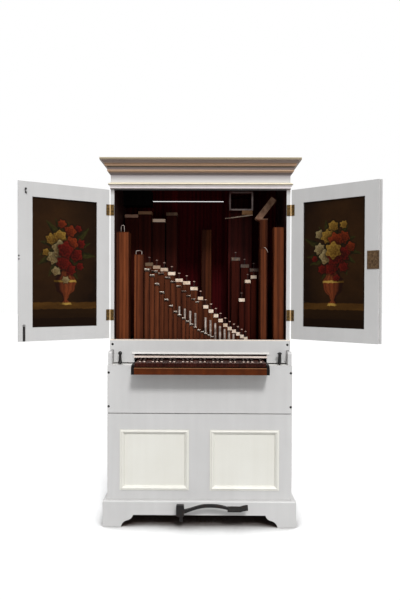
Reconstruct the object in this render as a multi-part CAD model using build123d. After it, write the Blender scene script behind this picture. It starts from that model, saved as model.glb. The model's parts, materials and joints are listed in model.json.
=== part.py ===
from build123d import *
import math
import os

# A cabinet pipe organ standing on the floor: a painted case with a plinth, a keyboard that stands out of
# the front, two doors over the pipe chamber, a moulded cornice and the pipes on their wind chest.
# Millimetres. While it is built, x = 0 is the middle of the case, y = 0 is the face of the lower front
# boards with y growing to the back, and z = 0 is the floor.

# Case
CASE_WIDTH = 1000.0
CASE_BACK = 560.0
SIDE_THICK = 20.0
BACK_THICK = 14.0
FRONT_THICK = 20.0
JAMB_Y = 99.0
SIDE_FOOT_Z = 66.0
CASE_TOP = 1994.0
TOP_BOARD_THICK = 20.0
BOTTOM_BOARD_Z = 100.0
BOTTOM_BOARD_THICK = 20.0

# Lower front
LOWER_FRONT_Z = 140.0
SEAM_Z = 608.0
LEDGE_Z = 870.0
STILE_WIDTH = 68.0
MUNTIN_WIDTH = 113.0
TOP_RAIL_HEIGHT = 86.0
BOTTOM_RAIL_HEIGHT = 53.0
PANEL_THICK = 9.0
PANEL_SETBACK = 7.0
PANEL_GROOVE = 7.0
SEAM_GAP = 4.0
MOULD_WIDTH = 25.0
MOULD_PROUD = 7.0
MOULD_EDGE = 2.8
MOULD_CROWN = 10.0
MOULD_CROWN_BOW = 0.114
MOULD_HOLLOW_BOW = -0.088

# Cheeks beside the keyboard
CHEEK_Z = 943.0
CHEEK_ROUND = 13.0
LEDGE_THICK = 18.0

# Plinth
PLINTH_PROUD = 22.0
PLINTH_Z = 141.0
PLINTH_NOSE = 8.0
APRON_Z = 65.0
FOOT_WIDTH = 100.0
FOOT_COVE = 33.0
FOOT_OVOLO = 32.0
FOOT_KNEE_Z = 36.0
FOOT_COVE_BOW = 0.16
FOOT_OVOLO_BOW = -0.147
FOOT_BLOCK = 55.0
BACK_FOOT_Z = 12.0

# Nameboard
NAMEBOARD_THICK = 23.0
NAMEBOARD_Z = 877.0
NAMEBOARD_TOP = 1004.0
EAR_Z = 947.0
EAR_GAP = 2.0
EAR_ROUND = 7.0
KEY_OPENING_TOP = 925.0
LISTEL_HEIGHT = 11.0
LISTEL_PROUD = 6.0
LISTEL_REACH = 13.0

# Upper opening, frieze and cornice
OPENING_BELOW_TOP = 158.0
BEAD_OVER_OPENING = 6.0
BEAD_HEIGHT = 36.0
BEAD_PROUD = 12.0
CORNICE_BELOW_TOP = 66.0
CORNICE_HEIGHT = 78.0
CORNICE_PROUD = 54.0
FRIEZE_THICK = 20.0
# The members of the cornice from its foot up: a cove, a small astragal, a fascia, a second astragal, a
# long cyma and the top fillet. Each point is a share of the projection and of the height, and the bow of
# the face that leads to it.
CORNICE_MEMBERS = (
    (0.241, 0.103, -0.165), (0.315, 0.218, -0.31), (0.352, 0.449, 0), (0.537, 0.628, -0.318),
    (0.704, 0.731, -0.113), (0.907, 0.846, 0.137), (1, 0.846, 0), (1, 1, 0), (0, 1, 0), (0, -0.077, 0),
)
# The bead under the frieze in the same way: a cyma below, a quirk and a half round nose under a slope.
BEAD_MEMBERS = (
    (0.25, 0, 0), (0.667, 0.556, 0.103), (0.833, 0.556, 0), (0.833, 0.833, -0.377), (0, 1, 0), (0, 0, 0),
)

# Doors
DOOR_THICK = 22.0
DOOR_GAP = 5.0
DOOR_OVER_OPENING = 1.0
PIVOT_OUT = 3.0
DOOR_STILE = 73.0
DOOR_TOP_RAIL = 76.0
DOOR_BOTTOM_RAIL = 72.0
DOOR_PANEL_THICK = 8.0
DOOR_PANEL_SETBACK = 7.0
DOOR_PANEL_GROOVE = 7.0
MEETING_GAP = 5.0
MEETING_TONGUE = 8.5
MEETING_LAP = 5.0
LEFT_DOOR_ANGLE = 148.5
RIGHT_DOOR_ANGLE = 141.3

# Door fittings
HINGE_HEIGHT = 61.0
HINGE_FROM_FOOT = 131.0
HINGE_FROM_TOP = 113.0
LEAF_REACH = 22.0
LEAF_THICK = 2.0
KNUCKLE_R = 3.4
KNUCKLE_ROOM = 0.5
KNUCKLE_END_GAP = 0.25
PIN_R = 1.5
PIN_CLEARANCE = 0.05
LOCK_WIDTH = 59.0
LOCK_HEIGHT = 93.0
LOCK_OVER_MIDDLE = 11.0
LOCK_PROUD = 2.0
LOCK_DEEP = 10.0
BOLT_GROOVE = 14.0
BOLT_LENGTH = 88.0
BOLT_INSET = 30.0
BOLT_WIDTH = 10.0
BOLT_DEEP = 6.0
BOLT_SUNK = 1.0
BOLT_SHORT = 10.0
HOOK_FROM_TOP = 38.0
HOOK_INSET = 39.0
HOOK_SPACING = 20.0
HOOK_R = 4.6
HOOK_PROUD = 5.0

# Keyboard
KEYBOARD_X = 4.0
NATURALS = 30
LEDGE_LENGTH = 113.5
OPENING_CLEARANCE = 3.0
KEY_GAP = 0.9
NATURAL_TOP = 894.0
NATURAL_THICK = 20.0
NATURAL_FRONT = -86.0
NATURAL_HEAD = 43.0
NATURAL_LIP = 3.0
NATURAL_LIP_HEIGHT = 4.0
KEY_TAIL_Y = 300.0
KEY_BED_TAIL = 20.0
SHARP_WIDTH = 10.5
SHARP_TOP = 904.0
SHARP_LENGTH = 92.0
SHARP_SLOPE = 5.0
KEY_SIDE_CLEARANCE = 1.0
SLIP_FRONT = -100.0
SLIP_THICK = 12.0
SLIP_TOP = 869.0
SLIP_BOTTOM = 834.0
BLOCK_WIDTH = 16.0
BLOCK_RISE = 45.0
BLOCK_BOW = 0.067
KEY_BED_THICK = 16.0
KEY_CHEEK_TOP = 884.0
BALANCE_Y = 150.0
BALANCE_RAIL = 30.0
SHELF_THICK = 18.0
SHELF_FRONT = 72.0
BATTEN_Y = 56.0
BATTEN_Z = 906.0
BATTEN_TOP = 914.0

# Stop levers
STOP_FROM_SIDE = 42.0
STOP_Y = 45.0
STOP_PIVOT_Z = 800.0
STOP_PIN_R = 3.0
STOP_EYE_R = 9.0
STOP_EYE_THICK = 10.0
STOP_STEM_R = 5.0
STOP_NECK_R = 7.0
STOP_BASE_R = 13.5
STOP_BASE_BOW = 0.05
STOP_COLLAR_R = 10.5
STOP_COLLAR_HEIGHT = 8.0
STOP_SHAFT_R = 9.5
STOP_WAIST_R = 8.5
STOP_WAIST_DROP = 4.0
STOP_BASE_Z = 875.0
STOP_NECK_Z = 919.0
STOP_HEAD_Z = 931.0
STOP_BALL_R = 11.0
STOP_CAP_R = 13.0
STOP_CAP_RISE = 9.0
STOP_CAP_BOW = -0.17
STOP_SLOT_X = 34.0
STOP_SLOT_Y = 14.0
STOP_CHEEK = 5.0
STOP_CHEEK_GAP = 0.5

# Blowing pedal
PEDAL_X = -97.0
PEDAL_PIVOT_Y = 430.0
PEDAL_PIVOT_Z = 50.0
PEDAL_PIN_R = 5.0
PEDAL_EYE_R = 12.0
PEDAL_BAR_WIDTH = 18.0
PEDAL_BAR_HEIGHT = 12.0
PEDAL_RISER_Y = -48.0
PEDAL_RISER_TOP = 112.0
PEDAL_BOSS_LEFT = -122.0
PEDAL_BOSS_RIGHT = -80.0
PEDAL_BOSS_FOOT = 79.0
PEDAL_BOSS_TOP = 139.0
PEDAL_BOSS_FRONT = -78.0
PEDAL_BOSS_ROUND = 7.0
PEDAL_ARM_Y = -67.0
PEDAL_ARM_THICK = 14.0
# The upper and lower edge of the forged arm, as x and z, from the boss to the tread
PEDAL_ARM_TOP = ((-96, 112), (-43, 122.5), (12, 138.5), (70, 142), (128, 134.5), (158, 124))
PEDAL_ARM_UNDER = ((158, 112), (128, 119.5), (70, 126), (12, 122.5), (-43, 106.5), (-96, 86))
PEDAL_TREAD_LEFT = 150.0
PEDAL_TREAD_BEND = 218.0
PEDAL_TREAD_RIGHT = 258.0
PEDAL_TREAD_WIDTH = 34.0
PEDAL_TREAD_THICK = 8.0
PEDAL_TREAD_RISE = 11.0
PEDAL_TREAD_BOW = 0.06
PEDAL_TREAD_Y = -72.0
PEDAL_TREAD_Z = 118.0
PEDAL_TREAD_TILT = 24.0
PEDAL_CHEEK = 8.0
PEDAL_CHEEK_GAP = 1.0

# Wind chest and the make of a pipe
CHEST_TOP = 944.0
CHEST_HEIGHT = 42.0
CHEST_FRONT = 118.0
CHEST_BACK_GAP = 6.0
PIPE_GAP = 1.6
PIPE_WALL = 4.0
FOOT_HEIGHT = 12.0
FOOT_SIZE = 9.0
BLOCK_HEIGHT = 12.0
MOUTH_SHARE = 0.35
STOPPER_HEAD = 19.0
STOPPER_NECK = 14.0
STOPPER_FIT = 0.3
HANDLE_HEIGHT = 34.0
HANDLE_WIDTH = 5.0
HANDLE_BAR = 12.0
FLAP_THICK = 1.6
FLAP_SIDE = 1.0
FLAP_SLOPE = 22.0
METAL_R = 6.8
METAL_TOE_R = 2.7
METAL_WALL = 1.0
METAL_Y = 188.0
MITRE_WALL = 9.0
MITRE_FOOT = 18.0
SLIT_BELOW_TOP = 151.0
SLIT_HEIGHT = 6.0
SLIT_LEFT = -307.0
SLIT_RIGHT = 144.0

# The plan of the pipes. Their places across and their heights are drawn for a chamber whose inside is
# 960 wide, whose chest top is at 944 and whose top is at 1994, and are fitted to the case from there.
PLAN_INNER = 480.0
PLAN_CHEST_TOP = 944.0
PLAN_CASE_TOP = 1994.0
# Each row: its left edge, its pipes' number, width and the steps in which that width halves, its front,
# the depth of a pipe as a share of its width, and the line of its tops as x and z
BASS_ROW = (-322, 7, 44, 0, 250, 1.1,
            ((-300, 1421), (-256, 1404), (-212, 1390), (-168, 1367), (-124, 1328), (-80, 1313), (-36, 1280)))
TREBLE_ROW = (-14, 11, 32, 18, 250, 1.3,
              ((0, 1226), (31, 1175), (61, 1150), (90, 1124), (146, 1067), (173, 1046), (221, 1016),
               (265, 987)))
FRONT_ROW = (-316, 17, 29.5, 22, 142, 1.25,
             ((-316, 1400), (-272, 1353), (-241, 1299), (-198, 1226), (-139, 1147), (-6, 1046), (80, 1004)))
MIDDLE_ROW = (-326, 10, 43, 10, 199, 0.8,
              ((-326, 1398), (-222, 1366), (-138, 1310), (-59, 1234), (0, 1195)))
METAL_FIRST_X = -120.0
METAL_PITCH = 31.5
METAL_HALVING = 32
METAL_COUNT = 12
METAL_MISSING = 4
METAL_TOPS = ((-120, 1186), (-49, 1157), (49, 1115), (133, 1061), (192, 1028), (230, 1006))
# Pipes that stand by themselves: left edge, width, height of the top, front and depth
REAR_PIPES = (
    (-468, 82, 1727, 430, 95),
    (-385, 82, 1747, 430, 95),
    (-299, 80, 1700, 430, 95),
    (-213, 69, 1740, 430, 90),
)
RIGHT_REAR_PIPES = (
    (187, 52, 1460, 362, 60),
    (243, 50, 1418, 362, 60),
    (297, 53, 1394, 362, 60),
)
RIGHT_FRONT_PIPES = (
    (230, 33, 1213, 305, 42),
    (265, 33, 1324, 305, 42),
    (300, 34, 1350, 305, 42),
)
TALL_PIPES = (
    (-477, 73, 1609, 150, 92),
    (-375, 53, 1482, 152, 40),
    (6, 61, 1655, 430, 90),
    (341, 36, 1518, 150, 44),
    (416, 58, 1638, 150, 80),
)
# The pipe with a slanting head: the pipe, and the foot, head and thickness of its slanting limb
SLANTED_PIPE = (343, 46, 1695, 222, 60)
SLANT_FOOT = (330, 1688)
SLANT_KNEE = (333, 1692)
SLANT_HEAD = (425, 1811)
SLANT_THICK = 36.0
# The pipe whose upper end is turned forward, the prop under its mouth and the lath nailed to the prop
MITRED_LEFT = 171.0
MITRED_WIDTH = 142.0
MITRED_BELOW_TOP = 124.0
MITRED_HEIGHT = 112.0
MITRED_FRONT = 330.0
MITRED_BACK = 540.0
PROP_LEFT = 247.0
PROP_RIGHT = 310.0
PROP_HEIGHT = 25.0
PROP_DEPTH = 42.0
LATH_LEFT = 145.6
LATH_RIGHT = 312.0
LATH_DROP = 22.0
LATH_SUNK = 2.0
LATH_THICK = 6.0
LATH_DEPTH = 10.0
# The bass limb that lies across at the upper left
LIMB_RIGHT = -305.0
LIMB_FRONT = 440.0
LIMB_BELOW_TOP = 94.0
LIMB_HEIGHT = 94.0

# What follows from the sizes above
HALF = CASE_WIDTH / 2
INNER = HALF - SIDE_THICK
INSIDE_BACK = CASE_BACK - BACK_THICK
OPENING_TOP = CASE_TOP - OPENING_BELOW_TOP
BEAD_Z = OPENING_TOP + BEAD_OVER_OPENING
CORNICE_Z = CASE_TOP - CORNICE_BELOW_TOP
PIVOT_X = HALF + PIVOT_OUT
PIVOT_Y = JAMB_Y - DOOR_GAP / 2
DOOR_BOTTOM = NAMEBOARD_TOP + DOOR_GAP
DOOR_TOP = OPENING_TOP + DOOR_OVER_OPENING
HINGE_PLACES = (DOOR_BOTTOM + HINGE_FROM_FOOT, DOOR_TOP - HINGE_FROM_TOP)
LOCK_Z = (DOOR_BOTTOM + DOOR_TOP) / 2 + LOCK_OVER_MIDDLE
HOOK_Z = DOOR_TOP - HOOK_FROM_TOP
OPENING_HALF = INNER - LEDGE_LENGTH
BLOCK_OUT = OPENING_HALF - OPENING_CLEARANCE
KEYBOARD_HALF = BLOCK_OUT - BLOCK_WIDTH
NATURAL_PITCH = 2 * (KEYBOARD_HALF - KEY_SIDE_CLEARANCE) / NATURALS
STOP_X = INNER - STOP_FROM_SIDE
SLIT_Z = CASE_TOP - SLIT_BELOW_TOP
BODY_Z = CHEST_TOP + FOOT_HEIGHT
ACROSS = INNER / PLAN_INNER
UPWARD = (CASE_TOP - CHEST_TOP) / (PLAN_CASE_TOP - PLAN_CHEST_TOP)

parts = {}


def block(x0, x1, y0, y1, z0, z1):
    size = Box(abs(x1 - x0), abs(y1 - y0), abs(z1 - z0))
    return Pos((x0 + x1) / 2, (y0 + y1) / 2, (z0 + z1) / 2) * size


def rod(radius, start, end):
    axis = Vector(*end) - Vector(*start)
    plane = Plane(origin=start, z_dir=axis)
    return extrude(plane * Circle(radius), axis.length)


def slab_yz(outline, x0, x1):
    """A face drawn in y and z, made solid from x0 to x1."""
    return extrude(Plane.YZ.offset(x0) * outline, x1 - x0)


def slab_xz(outline, y0, y1):
    """A face drawn in x and z, made solid from y0 to y1."""
    return extrude(Plane.XZ.offset(-y0) * outline, y0 - y1)


def outline(*edges):
    return make_face(Wire(list(edges)))


def bow(start, end, share):
    """An arc whose rise is a share of the line from start to end; below zero it bows the other way."""
    return SagittaArc(start, end, share * math.dist(start, end))


def run(points):
    """A closed outline: each point is given with the bow of the edge that leads to it, 0 for a line."""
    edges = []
    previous = points[-1][0]
    for point, share in points:
        edges.append(bow(previous, point, share) if share else Line(previous, point))
        previous = point
    return outline(*edges)


def joined(solids):
    """Several solids of one kind that share a node."""
    return Compound([solid for shape in solids for solid in shape.solids()])


def add(name, shape):
    parts[name] = shape


# Case boards

def side_board(side):
    cheek_y = FRONT_THICK
    low = (cheek_y, SIDE_FOOT_Z)
    round_start = (cheek_y, CHEEK_Z - CHEEK_ROUND)
    round_end = (cheek_y + CHEEK_ROUND, CHEEK_Z)
    face = outline(
        Line(low, round_start),
        RadiusArc(round_start, round_end, CHEEK_ROUND),
        Line(round_end, (JAMB_Y, CHEEK_Z)),
        Line((JAMB_Y, CHEEK_Z), (JAMB_Y, CASE_TOP)),
        Line((JAMB_Y, CASE_TOP), (CASE_BACK, CASE_TOP)),
        Line((CASE_BACK, CASE_TOP), (CASE_BACK, SIDE_FOOT_Z)),
        Line((CASE_BACK, SIDE_FOOT_Z), low),
    )
    return slab_yz(face, min(side * INNER, side * HALF), max(side * INNER, side * HALF))


def case_boards():
    add("left_side", side_board(-1))
    add("right_side", side_board(1))
    add("lower_back", block(-INNER, INNER, INSIDE_BACK, CASE_BACK, BACK_FOOT_Z, NAMEBOARD_TOP))
    upper = block(-INNER, INNER, INSIDE_BACK, CASE_BACK, NAMEBOARD_TOP, CASE_TOP)
    slit = block(SLIT_LEFT, SLIT_RIGHT, INSIDE_BACK, CASE_BACK, SLIT_Z, SLIT_Z + SLIT_HEIGHT)
    add("upper_back", upper - slit)
    bottom_top = BOTTOM_BOARD_Z + BOTTOM_BOARD_THICK
    add("bottom_board", block(-INNER, INNER, FRONT_THICK, INSIDE_BACK, BOTTOM_BOARD_Z, bottom_top))
    top_y = JAMB_Y + FRIEZE_THICK
    add("top_board", block(-INNER, INNER, top_y, INSIDE_BACK, CASE_TOP - TOP_BOARD_THICK, CASE_TOP))
    add("frieze_board", block(-INNER, INNER, JAMB_Y, top_y, OPENING_TOP, CASE_TOP))


# Mouldings that run round the front and both sides

def three_sided(profile):
    """Sweep a profile, drawn as distance out from the case and height, round front and sides."""
    path = Polyline((-HALF, CASE_BACK), (-HALF, JAMB_Y), (HALF, JAMB_Y), (HALF, CASE_BACK))
    start = Plane(origin=(-HALF, CASE_BACK, 0), x_dir=(-1, 0, 0), z_dir=(0, 1, 0))
    return sweep(start * profile, path, transition=Transition.RIGHT)


def members(shares, proud, foot, height):
    """The section of a moulding from the shares of its members."""
    return run([((out * proud, foot + up * height), share) for out, up, share in shares])


def mouldings():
    add("cornice", three_sided(members(CORNICE_MEMBERS, CORNICE_PROUD, CORNICE_Z, CORNICE_HEIGHT)))
    add("bead_moulding", three_sided(members(BEAD_MEMBERS, BEAD_PROUD, BEAD_Z, BEAD_HEIGHT)))


# Lower front

def moulding_ring(x0, x1, z0, z1):
    """A moulded frame planted round one panel, proud of the boards beside it."""
    crown = (MOULD_CROWN, -MOULD_PROUD)
    seat = (MOULD_WIDTH, PANEL_SETBACK)
    profile = run([
        ((0, -MOULD_EDGE), 0), (crown, MOULD_CROWN_BOW), (seat, MOULD_HOLLOW_BOW), ((0, PANEL_SETBACK), 0),
    ])
    path = Polyline((x0, 0, z0), (x1, 0, z0), (x1, 0, z1), (x0, 0, z1), close=True)
    start = Plane(origin=((x0 + x1) / 2, 0, z0), x_dir=(0, 0, 1), z_dir=(-1, 0, 0))
    return sweep(start * profile, path, transition=Transition.RIGHT)


def lower_front():
    notch = block(KEYBOARD_X - OPENING_HALF, KEYBOARD_X + OPENING_HALF, 0, FRONT_THICK,
                  SLIP_BOTTOM - KEY_SIDE_CLEARANCE, LEDGE_Z)
    add("lower_front_board", block(-HALF, HALF, 0, FRONT_THICK, SEAM_Z + SEAM_GAP, LEDGE_Z) - notch)
    panel_z0 = LOWER_FRONT_Z + BOTTOM_RAIL_HEIGHT
    panel_z1 = SEAM_Z - TOP_RAIL_HEIGHT
    panel_out = HALF - STILE_WIDTH
    panel_in = MUNTIN_WIDTH / 2
    panel_y = PANEL_SETBACK
    groove = PANEL_GROOVE
    panels = [
        block(side * (panel_in - groove), side * (panel_out + groove), panel_y, panel_y + PANEL_THICK,
              panel_z0 - groove, panel_z1 + groove)
        for side in (-1, 1)
    ]
    stiles = [
        block(-HALF, -panel_out, 0, FRONT_THICK, LOWER_FRONT_Z, SEAM_Z),
        block(-panel_in, panel_in, 0, FRONT_THICK, panel_z0, panel_z1),
        block(panel_out, HALF, 0, FRONT_THICK, LOWER_FRONT_Z, SEAM_Z),
    ]
    rails = [
        block(-panel_out, panel_out, 0, FRONT_THICK, LOWER_FRONT_Z, panel_z0),
        block(-panel_out, panel_out, 0, FRONT_THICK, panel_z1, SEAM_Z),
    ]
    add("lower_stiles", joined([stile - panels[0] - panels[1] for stile in stiles]))
    add("lower_rails", joined([rail - panels[0] - panels[1] for rail in rails]))
    add("lower_panels", joined(panels))
    rings = []
    for side in (-1, 1):
        x0 = min(side * panel_in, side * panel_out)
        x1 = max(side * panel_in, side * panel_out)
        rings.append(moulding_ring(x0, x1, panel_z0, panel_z1))
    add("panel_mouldings", joined(rings))


# Plinth with ogee bracket feet

def foot_outline(length, foot_start, foot_end):
    """The side view of a plinth board: two bracket feet and a straight apron between them."""
    def bracket(toe, way):
        knee = (toe + way * FOOT_COVE, FOOT_KNEE_Z)
        head = (toe + way * (FOOT_COVE + FOOT_OVOLO), APRON_Z)
        return knee, head
    toe_a = foot_start
    toe_b = length - foot_end
    knee_a, head_a = bracket(toe_a, 1)
    knee_b, head_b = bracket(toe_b, -1)
    return run([
        ((toe_a, 0), 0), (knee_a, FOOT_COVE_BOW), (head_a, FOOT_OVOLO_BOW),
        (head_b, 0), (knee_b, FOOT_OVOLO_BOW), ((toe_b, 0), FOOT_COVE_BOW),
        ((length, 0), 0), ((length, PLINTH_Z), 0), ((0, PLINTH_Z), 0), ((0, 0), 0),
    ])


def plinth():
    out = HALF + PLINTH_PROUD
    nose = PLINTH_NOSE
    front_face = Pos(-out, 0) * foot_outline(2 * out, FOOT_WIDTH, FOOT_WIDTH)
    front = slab_xz(front_face, -PLINTH_PROUD, 0)
    nose_edges = front.edges().filter_by(Axis.X).group_by(Axis.Z)[-1].sort_by(Axis.Y)[0]
    front = fillet(nose_edges, nose)
    add("plinth_front", front)
    boards = []
    for side in (-1, 1):
        face = foot_outline(CASE_BACK, FOOT_WIDTH - PLINTH_PROUD, FOOT_WIDTH)
        x0 = min(side * HALF, side * out)
        board = slab_yz(face, x0, x0 + PLINTH_PROUD)
        rim = board.edges().filter_by(Axis.Y).group_by(Axis.Z)[-1].sort_by(Axis.X)[0 if side < 0 else -1]
        boards.append(fillet(rim, nose))
    add("plinth_sides", joined(boards))
    blocks = []
    for side in (-1, 1):
        for y0 in (0, INSIDE_BACK - FOOT_BLOCK):
            blocks.append(block(side * HALF, side * (HALF - FOOT_BLOCK), y0, y0 + FOOT_BLOCK, 0, SIDE_FOOT_Z))
    add("foot_blocks", joined(blocks))


# Nameboard and ledges

def nameboard():
    y0 = JAMB_Y - NAMEBOARD_THICK
    inside = INNER - EAR_GAP
    lower = block(-inside, inside, y0, JAMB_Y, NAMEBOARD_Z, NAMEBOARD_TOP)
    ears = block(-HALF, HALF, y0, JAMB_Y, EAR_Z, NAMEBOARD_TOP)
    opening = block(KEYBOARD_X - OPENING_HALF, KEYBOARD_X + OPENING_HALF, y0, JAMB_Y,
                    NAMEBOARD_Z, KEY_OPENING_TOP)
    board = lower + ears - opening
    ear_corners = board.edges().filter_by(Axis.Y).filter_by(
        lambda e: abs(abs(e.center().X) - HALF) < 0.1 and abs(e.center().Z - EAR_Z) < 0.1)
    add("nameboard", fillet(ear_corners, EAR_ROUND))
    reach = OPENING_HALF + LISTEL_REACH
    add("nameboard_listel", block(KEYBOARD_X - reach, KEYBOARD_X + reach, y0 - LISTEL_PROUD, y0,
                                  KEY_OPENING_TOP, KEY_OPENING_TOP + LISTEL_HEIGHT))


def ledges():
    pieces = []
    for side in (-1, 1):
        near = KEYBOARD_X + side * OPENING_HALF
        ledge = block(near, side * INNER, FRONT_THICK, CHEST_FRONT, LEDGE_Z - LEDGE_THICK, LEDGE_Z)
        slot_x = side * STOP_X
        slot = block(slot_x - STOP_SLOT_X / 2, slot_x + STOP_SLOT_X / 2, STOP_Y - STOP_SLOT_Y / 2,
                     STOP_Y + STOP_SLOT_Y / 2, LEDGE_Z - LEDGE_THICK, LEDGE_Z)
        pieces.append(ledge - slot)
    add("stop_ledges", joined(pieces))


# Keyboard: the compass runs from C to d, so the sharps come in twos and threes

SHARP_STEPS = (1, 2, 4, 5, 6)


def sharp_places():
    """The x of each sharp, on the line between two naturals."""
    left = KEYBOARD_X - NATURALS * NATURAL_PITCH / 2
    return [left + i * NATURAL_PITCH for i in range(1, NATURALS) if i % 7 in SHARP_STEPS]


def keyboard():
    bed_top = SLIP_BOTTOM + KEY_BED_THICK
    key_bottom = NATURAL_TOP - NATURAL_THICK
    left = KEYBOARD_X - NATURALS * NATURAL_PITCH / 2
    head_back = NATURAL_FRONT + NATURAL_HEAD
    sharps_at = sharp_places()
    naturals = []
    for i in range(NATURALS):
        x0 = left + i * NATURAL_PITCH + KEY_GAP / 2
        x1 = left + (i + 1) * NATURAL_PITCH - KEY_GAP / 2
        key = block(x0, x1, NATURAL_FRONT, KEY_TAIL_Y, key_bottom, NATURAL_TOP)
        for sharp_x in sharps_at:
            if x0 - SHARP_WIDTH < sharp_x < x1 + SHARP_WIDTH:
                room = SHARP_WIDTH / 2 + KEY_SIDE_CLEARANCE
                key -= block(sharp_x - room, sharp_x + room, head_back, KEY_TAIL_Y, key_bottom, NATURAL_TOP)
        key += block(x0, x1, NATURAL_FRONT - NATURAL_LIP, NATURAL_FRONT, NATURAL_TOP - NATURAL_LIP_HEIGHT,
                     NATURAL_TOP)
        naturals.append(key)
    add("natural_keys", joined(naturals))
    sharps = []
    for x in sharps_at:
        y0 = head_back + KEY_SIDE_CLEARANCE
        slope_end = y0 + SHARP_SLOPE
        top_end = y0 + SHARP_LENGTH
        side_view = run([
            ((y0, key_bottom), 0), ((y0, NATURAL_TOP), 0), ((slope_end, SHARP_TOP), 0),
            ((top_end, SHARP_TOP), 0), ((top_end, NATURAL_TOP), 0), ((KEY_TAIL_Y, NATURAL_TOP), 0),
            ((KEY_TAIL_Y, key_bottom), 0),
        ])
        sharps.append(slab_yz(side_view, x - SHARP_WIDTH / 2, x + SHARP_WIDTH / 2))
    add("sharp_keys", joined(sharps))
    inner_x0 = KEYBOARD_X - KEYBOARD_HALF
    inner_x1 = KEYBOARD_X + KEYBOARD_HALF
    slip_back = SLIP_FRONT + SLIP_THICK
    bed_back = KEY_TAIL_Y + KEY_BED_TAIL
    bed = block(inner_x0, inner_x1, slip_back, bed_back, SLIP_BOTTOM, bed_top)
    balance = block(inner_x0, inner_x1, BALANCE_Y, BALANCE_Y + BALANCE_RAIL, bed_top, key_bottom)
    add("key_frame", bed + balance)
    add("key_slip", block(inner_x0, inner_x1, SLIP_FRONT, slip_back, SLIP_BOTTOM, SLIP_TOP))
    blocks = []
    for side in (-1, 1):
        x_in = KEYBOARD_X + side * KEYBOARD_HALF
        x_out = KEYBOARD_X + side * BLOCK_OUT
        rise = (SLIP_FRONT + BLOCK_RISE, KEY_CHEEK_TOP)
        side_view = run([
            ((SLIP_FRONT, SLIP_BOTTOM), 0), ((SLIP_FRONT, SLIP_TOP), 0), (rise, BLOCK_BOW),
            ((KEY_TAIL_Y, KEY_CHEEK_TOP), 0), ((KEY_TAIL_Y, SLIP_BOTTOM), 0),
        ])
        blocks.append(slab_yz(side_view, min(x_in, x_out), max(x_in, x_out)))
    add("key_blocks", joined(blocks))
    add("key_shelf", block(-INNER, INNER, SHELF_FRONT, bed_back, SLIP_BOTTOM - SHELF_THICK, SLIP_BOTTOM))
    add("key_batten", block(KEYBOARD_X - OPENING_HALF, KEYBOARD_X + OPENING_HALF, BATTEN_Y, JAMB_Y,
                            BATTEN_Z, BATTEN_TOP))


# Doors. Each is built about its hinge line, closed, and then turned open.

def door_place(side, angle):
    """The turn and move that take a door built about its hinge line to its place."""
    return Pos(side * PIVOT_X, PIVOT_Y, 0) * Rot(0, 0, side * angle)


def door(side, angle, name):
    place = door_place(side, angle)
    inner_y = -DOOR_GAP / 2
    outer_y = inner_y - DOOR_THICK
    hang = PIVOT_OUT
    meet = PIVOT_X - MEETING_GAP / 2

    def span(a0, a1, y0, y1, z0, z1):
        return block(-side * a0, -side * a1, y0, y1, z0, z1)

    tongue_y = inner_y - MEETING_TONGUE
    lap_y = outer_y + MEETING_TONGUE
    stile_hinge = span(hang, hang + DOOR_STILE, outer_y, inner_y, DOOR_BOTTOM, DOOR_TOP)
    free_from = meet - DOOR_STILE
    stile_free = span(free_from, meet, outer_y, inner_y, DOOR_BOTTOM, DOOR_TOP)
    if side < 0:
        rebate = MEETING_GAP + MEETING_LAP
        stile_free -= span(meet - rebate, meet, outer_y, tongue_y, DOOR_BOTTOM, DOOR_TOP)
    else:
        lip = span(meet, meet + MEETING_GAP + MEETING_LAP, outer_y, lap_y, DOOR_BOTTOM, DOOR_TOP)
        stile_free += lip
    rail_from = hang + DOOR_STILE
    rail_top = span(rail_from, free_from, outer_y, inner_y, DOOR_TOP - DOOR_TOP_RAIL, DOOR_TOP)
    rail_bottom = span(rail_from, free_from, outer_y, inner_y, DOOR_BOTTOM, DOOR_BOTTOM + DOOR_BOTTOM_RAIL)
    panel_y = inner_y - DOOR_PANEL_SETBACK
    groove = DOOR_PANEL_GROOVE
    panel = span(rail_from - groove, free_from + groove, panel_y - DOOR_PANEL_THICK, panel_y,
                 DOOR_BOTTOM + DOOR_BOTTOM_RAIL - groove, DOOR_TOP - DOOR_TOP_RAIL + groove)
    stiles = [stile_hinge - panel, stile_free - panel]
    if side < 0:
        bolt_a = meet - BOLT_INSET
        groove_cut = span(bolt_a - BOLT_GROOVE / 2, bolt_a + BOLT_GROOVE / 2, inner_y - BOLT_DEEP, inner_y,
                          DOOR_BOTTOM, DOOR_BOTTOM + BOLT_LENGTH)
        stiles[1] -= groove_cut
        bar = span(bolt_a - BOLT_WIDTH / 2, bolt_a + BOLT_WIDTH / 2, inner_y - BOLT_DEEP, inner_y - BOLT_SUNK,
                   DOOR_BOTTOM, DOOR_BOTTOM + BOLT_LENGTH - BOLT_SHORT)
        hook_x = -side * (meet - HOOK_INSET)
        studs = [bar]
        for z in (HOOK_Z, HOOK_Z - HOOK_SPACING):
            studs.append(rod(HOOK_R, (hook_x, inner_y, z), (hook_x, inner_y + HOOK_PROUD, z)))
        add(name + "_bolts", place * joined(studs))
    else:
        lock = span(meet - LOCK_WIDTH, meet, inner_y - LOCK_DEEP, inner_y + LOCK_PROUD,
                    LOCK_Z - LOCK_HEIGHT / 2, LOCK_Z + LOCK_HEIGHT / 2)
        stiles[1] -= lock
        add(name + "_lock", place * lock)
    add(name + "_stiles", place * joined(stiles))
    add(name + "_rails", place * joined([rail_top - panel, rail_bottom - panel]))
    add(name + "_panel", place * panel)
    leaves = [door_leaf(side, z) for z in HINGE_PLACES]
    add(name + "_hinge_leaves", place * joined(leaves))


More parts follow.
